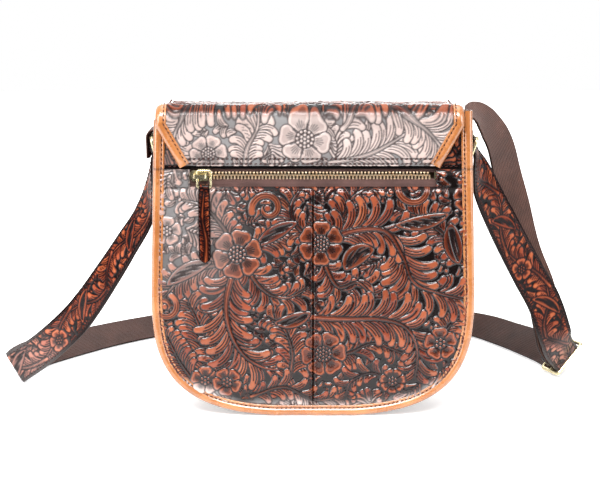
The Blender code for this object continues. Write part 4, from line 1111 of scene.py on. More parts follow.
def flapPlace(x, s, layer):
    # bag coordinates of the flap's sheet at x across, s along, layer above its inner face
    y, z, ny, nz = (np.interp(s, flapAt, values[:, k]) for values in (flapLine, flapOut) for k in (0, 1))
    edge = np.clip((flapHalf(s) - np.abs(x)) / 12, 0, 1)
    out = layer + flapSwell(s, x) * smoothStep(0.35 + 0.65 * edge)
    return np.stack([x + flap["shift"], y + ny * out, z + nz * out], -1)


# Layout of the flap: flowers as x, s and radius; sprays as a spine, its leaves, their length and width
flapBlooms = (
    (-4, 22, 22), (-81, 10, 16), (-60, 96, 20), (70, 112, 20), (0, 165, 24), (-75, 190, 18), (78, 205, 18),
    (-20, 250, 20),
)
flapSprays = (
    (((16, 2), (48, 10), (76, 26), (98, 44)), 8, 26, 3.0),
    (((60, 44), (86, 34), (104, 16), (112, -4)), 7, 24, 2.8), (((26, 30), (40, 44), (62, 52)), 4, 18, 2.8),
    (((-66, 52), (-94, 44), (-108, 24), (-104, 2)), 8, 22, 2.8),
    (((-52, -2), (-50, 14), (-42, 30), (-40, 46)), 6, 17, 2.7),
    (((-24, 40), (-44, 50), (-66, 48)), 4, 16, 2.6),
    (((-60, 96), (-30, 84), (0, 92), (30, 80)), 8, 24, 2.8), (((70, 112), (96, 96), (104, 70)), 6, 20, 2.8),
    (((-60, 96), (-90, 84), (-104, 110)), 6, 20, 2.8),
    (((0, 165), (40, 150), (70, 165), (96, 150)), 8, 26, 3.0),
    (((0, 165), (-30, 140), (-70, 140), (-100, 160)), 8, 26, 3.0),
    (((0, 165), (-20, 200), (-44, 220), (-84, 232)), 8, 26, 3.0),
    (((78, 205), (40, 200), (20, 222), (24, 256)), 8, 26, 3.0),
    (((-20, 250), (10, 276), (44, 270), (70, 240)), 8, 24, 2.8),
    (((-20, 250), (-56, 262), (-70, 280), (-40, 300)), 7, 22, 2.8),
)
flapField = toolCover((-126.0, 0.0), (126.0, 320.0), 0.46, 17, flapBlooms, flapSprays)
foldBack = ("bag", "flap_top", (0, -44, 243), (0, -24, 255.5))
foldFront = ("flap_top", "flap_front", (0, 26, 256), (0, 46, 243))
flapNodes = {
    "a": (
        ["flap_back", "flap_top"], ["flap_lining_back", "flap_lining_top"],
        ["flap_rim_back_left", "flap_rim_top_left"], ["flap_rim_back_right", "flap_rim_top_right"],
    ),
    "b": (
        ["flap_fold", "flap_front"], ["flap_lining_fold", "flap_lining_front"], ["flap_rim_fold_left"],
        ["flap_rim_fold_right", "flap_rim_front"],
    ),
}


def makeFlapSheet(part, start, end, body, rows, columns):
    # rows across the flap, closer at the rounded end; the sheet's edge lies under the binding
    inset = flap["inset"]
    s = np.linspace(start, end, rows)
    if part == "b":
        s = start + (end - inset - start) * (1 - (1 - np.linspace(0, 1, rows)) ** 1.12)
    half = np.maximum(flapHalf(s), 1)
    half = np.where(
        s > flapEnd - flap["curve"], np.interp(s + inset * 0.7, s, half) - inset * 0.6, half - inset
    )
    x, s = sheetRows(s, -half, half, columns)
    # stitches pull two creases into the sewn edge; the painted sheen, a pale painted reflection, is strongest
    # over the back below the fold
    crease = 1 - 0.75 * sum(np.exp(-(((s - seam) / 0.8) ** 2)) for seam in flap["seams"])
    painted_sheen = 0.82 * (1 - smoothStep((s - 36.5) / 3.5)) * (0.92 + 0.08 * np.sin(x * 0.03 + 1))
    values = tooling(flapField, x, s, painted_sheen)
    values["relief"] = values["relief"] * crease
    outer = flapPlace(x, s, flapLayers["outer"] + 0.8 * bag["relief"] * values["relief"])
    inner = flapPlace(x, s, flapLayers["inner"])
    makeSheet(
        "flap_leather_" + part, outer, inner, flapTooled, body, flapNodes[part][0], values,
        crease=80,
    )


def makeFlapLining(part, start, end, body):
    s = np.linspace(start + (part == "a"), end - 3 * (part == "b"), 90)
    half = np.maximum(flapHalf(s) - 2.5, 20)
    x, s = sheetRows(s, -half, half, 60)
    outer, inner = (flapPlace(x, s, flapLayers[key]) for key in ("liningFace", "liningBack"))
    makeSheet(
        "flap_lining_" + part, outer, inner, cloth, body, flapNodes[part][1],
        flat=np.stack([x, s], -1),
    )


def flapEdge(start, end, spacing=1.5):
    # the flap's right edge in (x, s) with inward normals
    s = np.linspace(start, end, 500)
    if end > flapEnd - 1:
        tail = flapEnd - (flapEnd - start) * (1 - np.sin(np.linspace(0, math.pi / 2, 500)))
        s = np.unique(np.concatenate([s, tail]))
    edge = np.stack([flapHalf(s), s], 1)
    if end > flapEnd - 1:
        edge = np.concatenate([edge, [(x, flapEnd) for x in np.linspace(flap["foot"], 0, 30)[1:]]])
    edge = resample(edge, spacing)[0]
    along = softened(unit(np.gradient(edge, axis=0)), 5)
    return edge, np.stack([-along[:, 1], along[:, 0]], 1)


flapRimProfile = np.array(
    (
        (9.0, 4.3), (9.1, 4.9), (8.8, 5.3), (8.2, 5.5), (7.6, 5.4), (7.0, 5.1), (6.5, 5.2), (5.8, 5.6),
        (4.8, 6.0), (3.6, 6.15), (2.4, 5.9), (1.3, 5.3), (0.5, 4.4), (0.05, 3.2), (0.1, 2.0), (0.6, 0.9),
        (1.6, 0.25), (3.0, 0.05), (5.0, 0.2), (5.0, 0.9), (2.2, 1.2), (1.5, 2.0), (1.5, 3.4), (2.4, 4.1),
    )
)
flapRimWear = np.array(
    (1, 0.8, 0.3, 0, 0, 0.4, 0.4, 0, 0, 0, 0, 0, 0.05, 0.1, 0.1, 0, 0, 0, 0.6, 1, 1, 1, 1, 1)
) * 0.75


def flapRow(x, s, layer):
    # a row of stitches on the flap's sheet
    line = flapPlace(x, s, layer)
    return stitchRow(line, unit(flapPlace(x, s, layer + 1) - line))


def makeFlapRims(part, start, end, body):
    # the binding's profile carried along both edges, lower at its sewn end and where the flap lies flat
    edge, normal = flapEdge(start, end)
    spot = edge + normal * 7.0
    spot = spot[spot[:, 1] > 2.5]
    at = edge[:, None] + normal[:, None] * flapRimProfile[:, :1]
    layer = np.broadcast_to(flapRimProfile[:, 1], at.shape[:2])
    if part == "a":
        layer = 3.4 + (layer - 3.4) * (0.72 + 0.28 * smoothStep(at[..., 1] / 5))
    flat = smoothStep((at[..., 1] - 56) / 20) * smoothStep((flapTopEnd + 24 - at[..., 1]) / 16)
    layer = np.where(layer > 4.2, 4.2 + (layer - 4.2) * (1 - 0.45 * flat), layer)
    rows = []
    for side, word, nodes in ((-1, "_left", flapNodes[part][2]), (1, "_right", flapNodes[part][3])):
        points = flapPlace(side * at[..., 0], np.maximum(at[..., 1], 0.0), layer)
        points[..., 2] += np.minimum(at[..., 1], 0.0)
        wear = np.broadcast_to(flapRimWear, points.shape[:2])
        makePiece("flap_rim_" + part + word, points, tubeFaces(*points.shape[:2]), tan, body,
                  nodes, {"wear": wear}, crease=70)
        rows.append(flapRow(side * spot[:, 0], spot[:, 1], flapLayers["rimStitch"]))
    if part == "a":
        x = np.linspace(-flap["seamHalf"], flap["seamHalf"], 60)
        rows += [flapRow(x, np.full(60, s), flapLayers["seamStitch"]) for s in flap["seams"]]
    makeStitches("flap_stitches_" + part, rows, body)


for part, start, end, body, rows, columns in (
    ("a", 0.0, flapSplit, foldBack, 215, 420), ("b", flapSplit, flapEnd, foldFront, 290, 300),
):
    makeFlapSheet(part, start, end, body, rows, columns)
    makeFlapLining(part, start, end, body)
makeFlapRims("a", -2.0, flapSplit, foldBack)
makeFlapRims("b", flapSplit, flapEnd, foldFront)
print("flap made")


# Seam stitches of the back: beside the centre seam, under the zip and along the yoke
def panelRow(x, z, lift=0.7):
    path = np.stack(np.broadcast_arrays(x, -(panelPoint(x, z) + lift), z), 1)
    return stitchRow(path, outward)


seamZ, topX, cornerX = np.linspace(10, 191, 60), np.linspace(-98, 98, 60), np.linspace(101, 117, 12)
# the row under the zip dips where the pull hangs at either end of the slider's run
dip = 1.2 * np.exp(-(((np.abs(topX) - 90.5) / 9) ** 2))
rows = [panelRow(-2.4, seamZ), panelRow(3.0, seamZ), panelRow(topX, bag["windowBottom"] - 2.6, 0.3 - dip)]
rows += [panelRow(side * cornerX, bag["seamHeight"] + 2.2, 0.3) for side in (-1, 1)]
makeStitches("seam_stitches", rows, "bag")


# Linings
pouch = {
    "back": -25.1, "front": 31.8, "low": 11.0, "tall": 232.0, "inset": 11.2, "square": 0.22, "thick": 0.9,
}


def makePouch():
    # stacked rounded rectangles, a small power of cosine and sine, closed at the bottom and lipped at the top
    rows, columns = 46, 120
    middle = (pouch["front"] + pouch["back"]) / 2
    z = pouch["low"] + pouch["tall"] * np.linspace(0, 1, rows)[:, None] ** 1.15
    angle = np.linspace(0, 2 * math.pi, columns, endpoint=False)
    x = halfAt(z, pouch["inset"]) * signedPower(np.cos(angle), pouch["square"])
    y = (pouch["front"] - middle) * signedPower(np.sin(angle), pouch["square"]) + 0 * x
    z = z + 0 * x
    ripple = 0.5 * np.sin(x * 0.09 + z * 0.05) + 0.3 * np.sin(z * 0.13 + x * 0.02)
    outer = np.stack([x, middle + y, z], -1)
    inner = outer + unit(np.stack([-x, -y, 0 * z], -1)) * (pouch["thick"] + 0.25 * ripple[..., None])
    inner[0] += (0, 0, pouch["thick"])
    size = rows * columns
    k = np.arange(columns)
    n = (k + 1) % columns
    lip = size - columns + np.stack([k, n, size + n, size + k], 1)
    walls = [
        gridFaces(rows, columns, around=True), gridFaces(rows, columns, around=True, start=size)[:, ::-1]
    ]
    caps = [list(range(columns))[::-1], list(range(size, size + columns))]
    uv = np.stack([np.stack([x, z], -1)] * 2) / 1000
    makePiece(
        "lining_main", np.stack([outer, inner]), (np.concatenate(walls + [lip]), caps), cloth, "bag",
        ["main_lining"], uv=uv,
    )


pocket = {"half": 105.8, "low": 62.3, "thick": 0.5}


def makePocket():
    # a flat pouch hung behind the zip, open towards it: one sheet down its back and up its front
    x = np.linspace(-pocket["half"], pocket["half"], 60)
    layers = []
    for y, top, sag in ((-25.8, 209.5, 0.5), (-31.7, 188.0, 0.15)):
        z = np.linspace(pocket["low"], top, 50)[:, None]
        wave = np.sin(x * 0.07) * np.sin((z - 62) / (top - 62) * math.pi)
        layers.append(np.stack(np.broadcast_arrays(x, y + sag * wave, z), -1))
    sheet = np.concatenate([layers[0][::-1], layers[1]])
    other = sheet + np.repeat((-pocket["thick"], pocket["thick"]), 50)[:, None, None] * (0, 1, 0)
    flat = np.stack(np.broadcast_arrays(x, np.arange(100)[:, None] * 3.0), -1)
    makeSheet("lining_pocket", sheet, other, cloth, "bag", ["zip_pocket_lining"], flat=flat)


makePouch()
makePocket()
print("linings made")


# Zip: woven tapes, then rows of separate teeth, then the pull
zipLook = {
    "pitch": 2.8, "centre": 202.0, "first": -84.0, "last": 97.0, "y": -32.95, "tapeY": -33.15,
    "tapeHalf": 103, "tapeGap": 2.7, "tapeWidth": 10.6, "tapeThick": 0.6,
}


def makeTape(side, word):
    # a flat strip beside the teeth, in a slight wave
    near = zipLook["centre"] + side * zipLook["tapeGap"]
    z = np.linspace(*sorted((near, near + side * zipLook["tapeWidth"])), 14)
    x = np.linspace(-zipLook["tapeHalf"], zipLook["tapeHalf"], 200)[:, None]
    grid = np.stack(np.broadcast_arrays(x, zipLook["tapeY"] + 0.18 * np.sin(x * 0.11 + z * 0.3), z), -1)
    makeSheet(
        "tape_" + word, grid, grid + (0, zipLook["tapeThick"], 0), tape, "bag",
        ["zip_tape_" + word], flat=grid[..., [0, 2]],
    )


makeTape(1, "upper")
makeTape(-1, "lower")
# stations along a tooth: place past the middle, half-width, half-depth
toothStations = np.array(
    (
        (-0.6, 0.35, 0.7), (-0.4, 0.62, 1.15), (0.3, 0.74, 1.3), (1.1, 0.62, 1.25), (1.9, 0.80, 1.42),
        (2.8, 0.80, 1.4), (3.1, 0.6, 1.1),
    )
)


def makeTeeth(side, word):
    # each tooth: a rounded block from the tape's edge to just past the middle, narrower at its waist
    count = int((zipLook["last"] - zipLook["first"]) / zipLook["pitch"])
    shift = 0.0 if side > 0 else 0.5
    centres = zipLook["first"] + (shift + np.arange(count)) * zipLook["pitch"]
    angle = (np.arange(10) + 0.5) * math.pi / 5
    place, wide, deep = toothStations.T[:, None, :, None]
    x = centres[:, None, None] + wide * signedPower(np.cos(angle), 0.6)
    y = zipLook["y"] + deep * signedPower(np.sin(angle), 0.6)
    points = np.stack(np.broadcast_arrays(x, y, zipLook["centre"] + side * place), -1)
    rows = len(toothStations)
    first = np.arange(count)[:, None] * rows * 10
    quads = [(gridFaces(rows, 10, around=True) + first[:, None]).reshape(-1, 4)]
    for start, order in ((0, np.arange(10)[::-1]), (rows * 10 - 10, np.arange(10))):
        base = first + start + order
        quads += [base[:, corners] for corners in ([0, 1, 2, 3], [0, 3, 4, 9], [4, 5, 8, 9], [5, 6, 7, 8])]
    makePiece(
        "teeth_" + word, points, (np.concatenate(quads), []), toothBrass, "bag",
        ["zip_teeth_" + word], crease=50,
    )


makeTeeth(1, "upper")
makeTeeth(-1, "lower")
for name in ("zip_stop_start", "zip_stop_end", "snap_socket", "snap_stud", "zip_slider"):
    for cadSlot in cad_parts[name].material_slots:
        cadSlot.material = brass


def roundWire(name, centre, first, second, halfA, halfB, corner, wire, body, node, sides=14, bar=False):
    # a rounded rectangle of wire: circles carried round its middle line, and a straight bar across if asked
    turn = math.pi / 2 * (np.arange(4)[:, None] + np.arange(9) / 8)
    signA, signB = np.array(((1, -1, -1, 1), (1, 1, -1, -1)))[..., None]
    a = signA * (halfA - corner) + corner * np.cos(turn)
    b = signB * (halfB - corner) + corner * np.sin(turn)
    first, second, centre = (np.array(v, float) for v in (first, second, centre))
    line = centre + a.reshape(-1, 1) * first + b.reshape(-1, 1) * second
    along = unit(np.roll(line, -1, 0) - np.roll(line, 1, 0))
    face = np.broadcast_to(unit(np.cross(first, second)), line.shape)
    angle = np.arange(sides) * 2 * math.pi / sides
    circle = np.stack([np.cos(angle), np.sin(angle)], 1) * wire
    points = sweep(line, np.cross(face, along), face, circle).reshape(-1, 3)
    last = len(points) - sides
    k = np.arange(sides)
    n = (k + 1) % sides
    quads = np.concatenate(
        [gridFaces(len(line), sides, around=True), np.stack([last + k, last + n, n, k], 1)]
    )
    caps = []
    if bar:
        ends = np.stack([centre - first * halfA, centre + first * halfA])
        rod = sweep(ends, np.broadcast_to(second, (2, 3)), face[:2], circle * 0.96)
        start = len(points)
        points = np.concatenate([points, rod.reshape(-1, 3)])
        quads = np.concatenate([quads, gridFaces(2, sides, around=True, start=start)[:, ::-1]])
        caps = [list(range(start, start + sides)), list(range(start + sides, start + 2 * sides))[::-1]]
    makePiece(name, points, (quads, caps), brass, body, [node], crease=40)


rings = {
    "barX": 126.58, "barZ": 211.0, "reach": 19.5, "half": 18.0, "corner": 3.2, "wire": 1.75, "left": 13.0,
    "right": 19.5,
}
pull = {
    "x": -87.55, "y": -38.0, "top": 193.0, "tip": 131.5, "lean": 1.8, "leanRun": 9, "ringHalf": 5.5,
    "ringReach": 6.8, "ringCorner": 1.6, "ringWire": 0.9, "half": 4.75, "layer": 0.62, "bend": 1.85,
    "back": 0.55, "stitch": 3.7,
}


def ringWay(side):
    lean = math.radians(rings["left"] if side < 0 else rings["right"])
    return np.array((side * math.sin(lean), 0, math.cos(lean)))


for side, word in ((-1, "left"), (1, "right")):
    centre = np.array((side * rings["barX"], 0, rings["barZ"])) + ringWay(side) * rings["reach"] / 2
    roundWire(
        "ring_" + word, centre, (0, 1, 0), ringWay(side), rings["half"], rings["reach"] / 2,
        rings["corner"], rings["wire"], "strap_ring_" + word, "strap_ring_" + word,
    )
roundWire(
    "pull_ring", (pull["x"], pull["y"], pull["top"] + pull["ringReach"]), (1, 0, 0), (0, 0, 1),
    pull["ringHalf"], pull["ringReach"], pull["ringCorner"], pull["ringWire"], "zip_ring", "zip_ring", 12,
)


def pullY(z):
    # the pull leans out from the panel just below its ring
    return pull["y"] - pull["lean"] * smoothStep((pull["top"] - z) / pull["leanRun"])


def makePull():
    # one strip folded round the ring's lower bar, two layers sewn together, tooled on the outer one alone
    top, tip = pull["top"], pull["tip"]
    angle = np.linspace(0, math.pi, 18)
    bend = (0, top) + pull["bend"] * np.stack([np.cos(angle), np.sin(angle)], 1)
    layer = np.stack([np.full(60, pull["layer"]), np.linspace(tip, top - 5.5, 60)], 1)
    layer = np.concatenate([layer, [(0.9, top - 3.5), (1.5, top - 1.6)]])
    path, at = resample(np.concatenate([layer, bend, layer[::-1] * (-1, 1)]), 0.5)
    line = np.stack([np.full(len(path), pull["x"]), pullY(path[:, 1]) - path[:, 0], path[:, 1]], 1)
    across = np.array((1.0, 0, 0))
    out = np.cross(across, unit(np.gradient(line, axis=0)))[:, None]
    fromTip = np.minimum(at, at[-1] - at)
    half = pull["half"] * (1 - 0.75 * (1 - np.clip(fromTip / 4.5, 0, 1)) ** 2.2)
    half = half - 0.6 * np.exp(-(((line[:, 2] - top) / 5) ** 2))
    x, z = sheetRows(line[:, 2], -half, half, 22)
    field = toolCover(
        (-6.0, 120.0), (6.0, 200.0), 0.35, 41, (),
        ((((0, 126), (1.5, 148), (-1.5, 168), (0, 190)), 9, 9, 1.9),),
    )
    values = tooling(field, x, z, 0.0)
    border = smoothStep((half[:, None] - np.abs(x) - 0.7) / 0.6)
    values["relief"] = np.maximum(values["relief"] * border, 0.3 * (1 - border))
    lift = 0.6 + 0.3 * values["relief"] - 0.3 * np.abs(x / half[:, None]) ** 8
    lift = np.where(at[:, None] < at[-1] / 2, lift, 0.5)
    middle = line[:, None] + across * x[..., None]
    makeSheet(
        "pull_leather", middle + out * lift[..., None], middle - out * pull["back"], strapTooled, "zip_pull",
        ["zip_pull"], values, crease=70,
    )
    z = np.linspace(tip + 3, top - 8, 30)
    rows = [
        stitchRow(np.stack(np.broadcast_arrays(pull["x"] + x, pullY(z) - 1.35, z), 1), outward)
        for x in (-pull["stitch"], pull["stitch"])
    ]
    makeStitches("pull_stitches", rows, "zip_pull")


makePull()


chape = {
    "low": 180.0, "high": 198.0, "inset": 8.1, "half": 12, "thick": 0.6, "round": 0.95,
    "seam": (183, 197, 10),
}


def makeChape(side, word):
    # a strip from the gusset up round the ring's bar and back down, sewn through both layers
    base = [sideX(z + footDrop) - chape["inset"] for z in (chape["low"], chape["high"])]
    lean = math.atan2(rings["barX"] - base[1], rings["barZ"] - chape["high"])
    angle = math.pi - lean - np.linspace(0, math.pi, 16)
    circle = np.stack([np.cos(angle), np.sin(angle)], 1)
    loop = (rings["barX"], rings["barZ"]) + (rings["wire"] + chape["round"]) * circle
    rise = [(base[0], chape["low"]), (base[1], chape["high"] - 1)]
    fall = [(base[1] + 1.4, chape["high"] + 1), (base[0] + 1.4, chape["low"] + 0.5)]
    path = np.concatenate([rise, loop, fall])
    line = resample(path, 0.8)[0]
    for _ in range(3):
        line[1:-1] = (line[:-2] + 2 * line[1:-1] + line[2:]) / 4
    line = np.insert(line * (side, 1), 1, 0, axis=1)
    across = np.broadcast_to(np.array((0.0, 1.0, 0.0)), line.shape)
    angle = np.linspace(0, 2 * math.pi, 24, endpoint=False)
    wide, deep = signedPower(np.cos(angle), 0.3), signedPower(np.sin(angle), 0.6)
    section = np.stack([chape["half"] * wide, chape["thick"] * deep], 1)
    points = sweep(line, across, np.cross(across, unit(np.gradient(line, axis=0))), section)
    wear = np.broadcast_to((np.abs(section[:, 0]) > chape["half"] - 0.6) * 0.7, points.shape[:2])
    makePiece(
        "ring_loop_leather_" + word, points, tubeFaces(*points.shape[:2]), tan, "bag",
        ["ring_loop_" + word], {"wear": wear},
    )
    rows = []
    low, high, half = chape["seam"]
    sides = (
        (low, high, -half, -half), (low, high, half, half), (low, low, -half, half), (high, high, -half, half)
    )
    for z0, z1, y0, y1 in sides:
        z, y = np.linspace(z0, z1, 10), np.linspace(y0, y1, 10)
        x = np.interp(z, (chape["low"], chape["high"]), base) + 2.1
        rows.append(stitchRow(np.stack([side * x, y, z], 1), (side, 0, 0)))
    makeStitches("ring_loop_stitches_" + word, rows, "bag")


makeChape(-1, "left")
makeChape(1, "right")
print("zip and hardware made")

# Strap: the CAD's route, followed more finely
strap = {
    "width": 30.0, "leather": 1.4, "gap": 0.3, "webbing": 0.9, "floorGap": 0.4, "tailDrop": 17.0,
    "slack": 1.0, "spread": 257.0, "reach": 262.0, "turningGap": 0.35, "chape": 1.2, "glideWire": 1.7,
    "glideHalf": 17.5, "glideCorner": 2.4, "glideRoom": 2.0, "glide": (226.0, 89.08), "heading": -61.9,
    "lean": 46.0, "repeat": 176.0, "border": 2.6, "stitch": 2.4, "relief": 0.55, "webbingInset": 0.3,
}
# stations of the strap's runs: shares of the way between two ends, and the direction of its width
leftRun = (
    (0.0680, 0.1139, 0.3006, (-0.50, 0.82, 0.27)), (0.2023, 0.2019, 0.4423, (-0.55, 0.75, 0.36)),
    (0.3364, 0.3434, 0.5712, (-0.59, 0.68, 0.44)), (0.4722, 0.5321, 0.6949, (-0.62, 0.60, 0.51)),
    (0.5795, 0.6898, 0.7805, (-0.65, 0.51, 0.57)), (0.8350, 0.8961, 0.9282, (-0.65, 0.44, 0.62)),
    (0.9523, 0.9609, 0.9787, (-0.67, 0.29, 0.68)),
)
floorRun = (
    (-1.0, 0.225, 30.0), (-0.988, 0.32, 37.0), (-0.953, 0.416, 46.0), (-0.868, 0.534, 55.0),
    (-0.743, 0.679, 60.0), (-0.607, 0.798, 62.0), (-0.39, 0.93, 60.0), (-0.12, 1.0, 58.0),
    (0.16, 1.0, 57.0), (0.41, 0.935, 58.0), (0.61, 0.815, 57.0), (0.695, 0.69, 54.0), (0.762, 0.565, 46.0),
    (0.820, 0.435, 42.0),
)
rightRise = (
    (0.1037, 0.1673, 0.0673, (0.67, 0.05, 0.72)), (0.1467, 0.2800, 0.1239, (0.80, 0.03, 0.59)),
    (0.2880, 0.4350, 0.2880, (0.90, 0.09, 0.43)), (0.4417, 0.5338, 0.4087, (0.87, 0.30, 0.40)),
    (0.6963, 0.7092, 0.6201, (0.81, 0.49, 0.33)), (0.8904, 0.8943, 0.7966, (0.68, 0.69, 0.26)),
    (0.9511, 0.9694, 0.8764, (0.44, 0.88, 0.16)), (0.9845, 0.9948, 0.9283, (0.19, 0.98, 0.06)),
)
loopRise = (
    (-0.0622, -0.0007, 0.0722, (-0.05, 0.98, 0.22)), (-0.0620, -0.0073, 0.0930, (0.03, 0.96, 0.28)),
    (-0.0221, -0.0093, 0.0967, (0.14, 0.93, 0.33)), (0.0212, -0.0038, 0.0881, (0.25, 0.89, 0.38)),
    (0.0644, 0.0148, 0.0707, (0.37, 0.83, 0.42)), (0.1156, 0.0510, 0.0455, (0.48, 0.76, 0.44)),
    (0.2094, 0.1463, -0.0144, (0.60, 0.67, 0.45)), (0.2764, 0.2590, -0.0812, (0.69, 0.57, 0.45)),
    (0.3491, 0.4080, -0.1898, (0.76, 0.49, 0.44)), (0.4357, 0.5048, -0.3132, (0.79, 0.43, 0.43)),
    (0.5746, 0.6565, -0.5209, (0.81, 0.40, 0.43)), (0.7300, 0.7264, -0.6846, (0.82, 0.39, 0.43)),
    (0.8180, 0.8172, -0.8321, (0.81, 0.39, 0.44)),
)
strapHalf = (strap["leather"] + strap["gap"] + strap["webbing"]) / 2
heading = math.radians(strap["heading"])
glideAlong = np.array((math.cos(heading), math.sin(heading), 0.0))
glideOutward = np.array((-glideAlong[1], glideAlong[0], 0.0))
tilt = math.radians(strap["lean"])
glideAcross = glideOutward * math.sin(tilt) + np.array((0, 0, math.cos(tilt)))
glideFace = np.cross(glideAlong, glideAcross)
endRadius = strap["glideWire"] + strap["turningGap"] + strapHalf
turnRadius = endRadius + 2 * strapHalf + strap["turningGap"]
glideReach = turnRadius + strapHalf + strap["turningGap"] + strap["glideWire"] + strap["glideRoom"]
glideLift = strap["width"] / 2 * math.cos(tilt) + strapHalf * math.sin(tilt) + strap["floorGap"]
glideCentre = np.array((*strap["glide"], glideLift + turnRadius * glideFace[2]))


def arcStations(centre, radius, start, end, first, second, width, steps):
    angle = np.linspace(start, end, steps + 1)
    spots = centre + first * radius * np.cos(angle)[:, None] + second * radius * np.sin(angle)[:, None]
    return [(spot, width) for spot in spots]


def strapStations():
    # places and width directions along the strap, from its tail to the stub behind the tri-glide
    right, level, up = np.eye(3)
    leftRing = np.array((-rings["barX"], 0, rings["barZ"])) + ringWay(-1) * rings["reach"]
    rightRing = np.array((rings["barX"], 0, rings["barZ"])) + ringWay(1) * rings["reach"]
    wrap = rings["wire"] + strap["turningGap"] + strapHalf
    loose = strap["slack"] * 2 / 3
    crown = leftRing + right * loose + up * loose
    tail, tailMiddle = (
        leftRing - right * (wrap + 0.3) - up * strap["tailDrop"] * share for share in (1, 0.5)
    )
    flat = np.array([(x * strap["spread"], y * strap["reach"], 0) for x, y, lean in floorRun])
    floor = []
    for i, (x, y, lean) in enumerate(floorRun):
        way = unit(flat[min(i + 1, len(flat) - 1)] - flat[max(i - 1, 0)])
        lean = math.radians(lean)
        outward = np.array((-way[1], way[0], 0))
        place = flat[i] + outward * (strap["width"] / 2 * math.sin(lean))
        place[2] = strap["width"] / 2 * math.cos(lean) + strapHalf * math.sin(lean) + strap["floorGap"]
        floor.append((place, outward * math.sin(lean) + np.array((0, 0, math.cos(lean)))))
    landing = floor[0][0]
    run = [(leftRing + (landing - leftRing) * np.array(row[:3]), np.array(row[3])) for row in leftRun]
    leg = glideCentre - glideFace * turnRadius
    approach = [(leg - glideAlong * reach, glideAcross) for reach in (glideReach + strapHalf, endRadius)]
    turn = arcStations(glideCentre, turnRadius, -math.pi / 2, 0, glideAlong, glideFace, glideAcross, 6)
    foot = turn[-1][0]
    rise = [(foot + (rightRing - foot) * np.array(row[:3]), np.array(row[3])) for row in rightRise]
    throat = rightRing - right * (wrap * 0.78) - up * (wrap * 0.7)
    hip = np.array(
        (-rings["barX"] - (rings["wire"] + 0.35 + strap["chape"] + 0.3 + strapHalf), 0, rings["barZ"])
    )
    span = glideCentre - rightRing
    loop = [
        (rightRing + np.array((span[0] * a, span[1] * b, -span[2] * c)), np.array(w))
        for a, b, c, w in loopRise
    ]
    settle = glideCentre + glideAlong * endRadius + glideFace * (2 * strap["width"] / 3)
    endArc = arcStations(glideCentre, endRadius, 0, -math.pi, glideAlong, glideFace, glideAcross, 12)
    stub = glideCentre - glideAlong * endRadius + glideFace * (strap["width"] / 2)
    return [
        [(tail, level), (tailMiddle, level)],
        arcStations(crown, wrap + strap["slack"], math.pi, 0, right, up, level, 6),
        [(hip, level)] + run + floor + approach,
        turn,
        rise + [(throat, level)] + loop + [(settle, glideAcross)],
        endArc,
        [(stub, glideAcross)],
    ]


def strapRoute(spacing):
    # Hermite pieces through the stations, with the width's direction turned evenly between them
    places = np.array([spot for part in strapStations() for spot, width in part])
    widths = np.array([width for part in strapStations() for spot, width in part])
    last = len(places) - 1
    route, across = [places[0]], [widths[0]]
    for i in range(last):
        p0, p1, p2, p3 = (places[min(max(j, 0), last)] for j in (i - 1, i, i + 1, i + 2))
        chord = np.linalg.norm(p2 - p1)
        before = max(np.linalg.norm(p1 - p0), chord / 4)
        after = max(np.linalg.norm(p3 - p2), chord / 4)
        slope1 = ((p1 - p0) / before + (p2 - p1) / chord) / 2 * chord
        slope2 = ((p2 - p1) / chord + (p3 - p2) / after) / 2 * chord
        t = np.linspace(0, 1, max(1, round(chord / spacing)) + 1)[1:, None]
        route.extend(hermite(t, p1, p2, slope1, slope2))
        across.extend(widths[i] * (1 - t) + widths[i + 1] * t)
    return np.array(route), np.array(across)


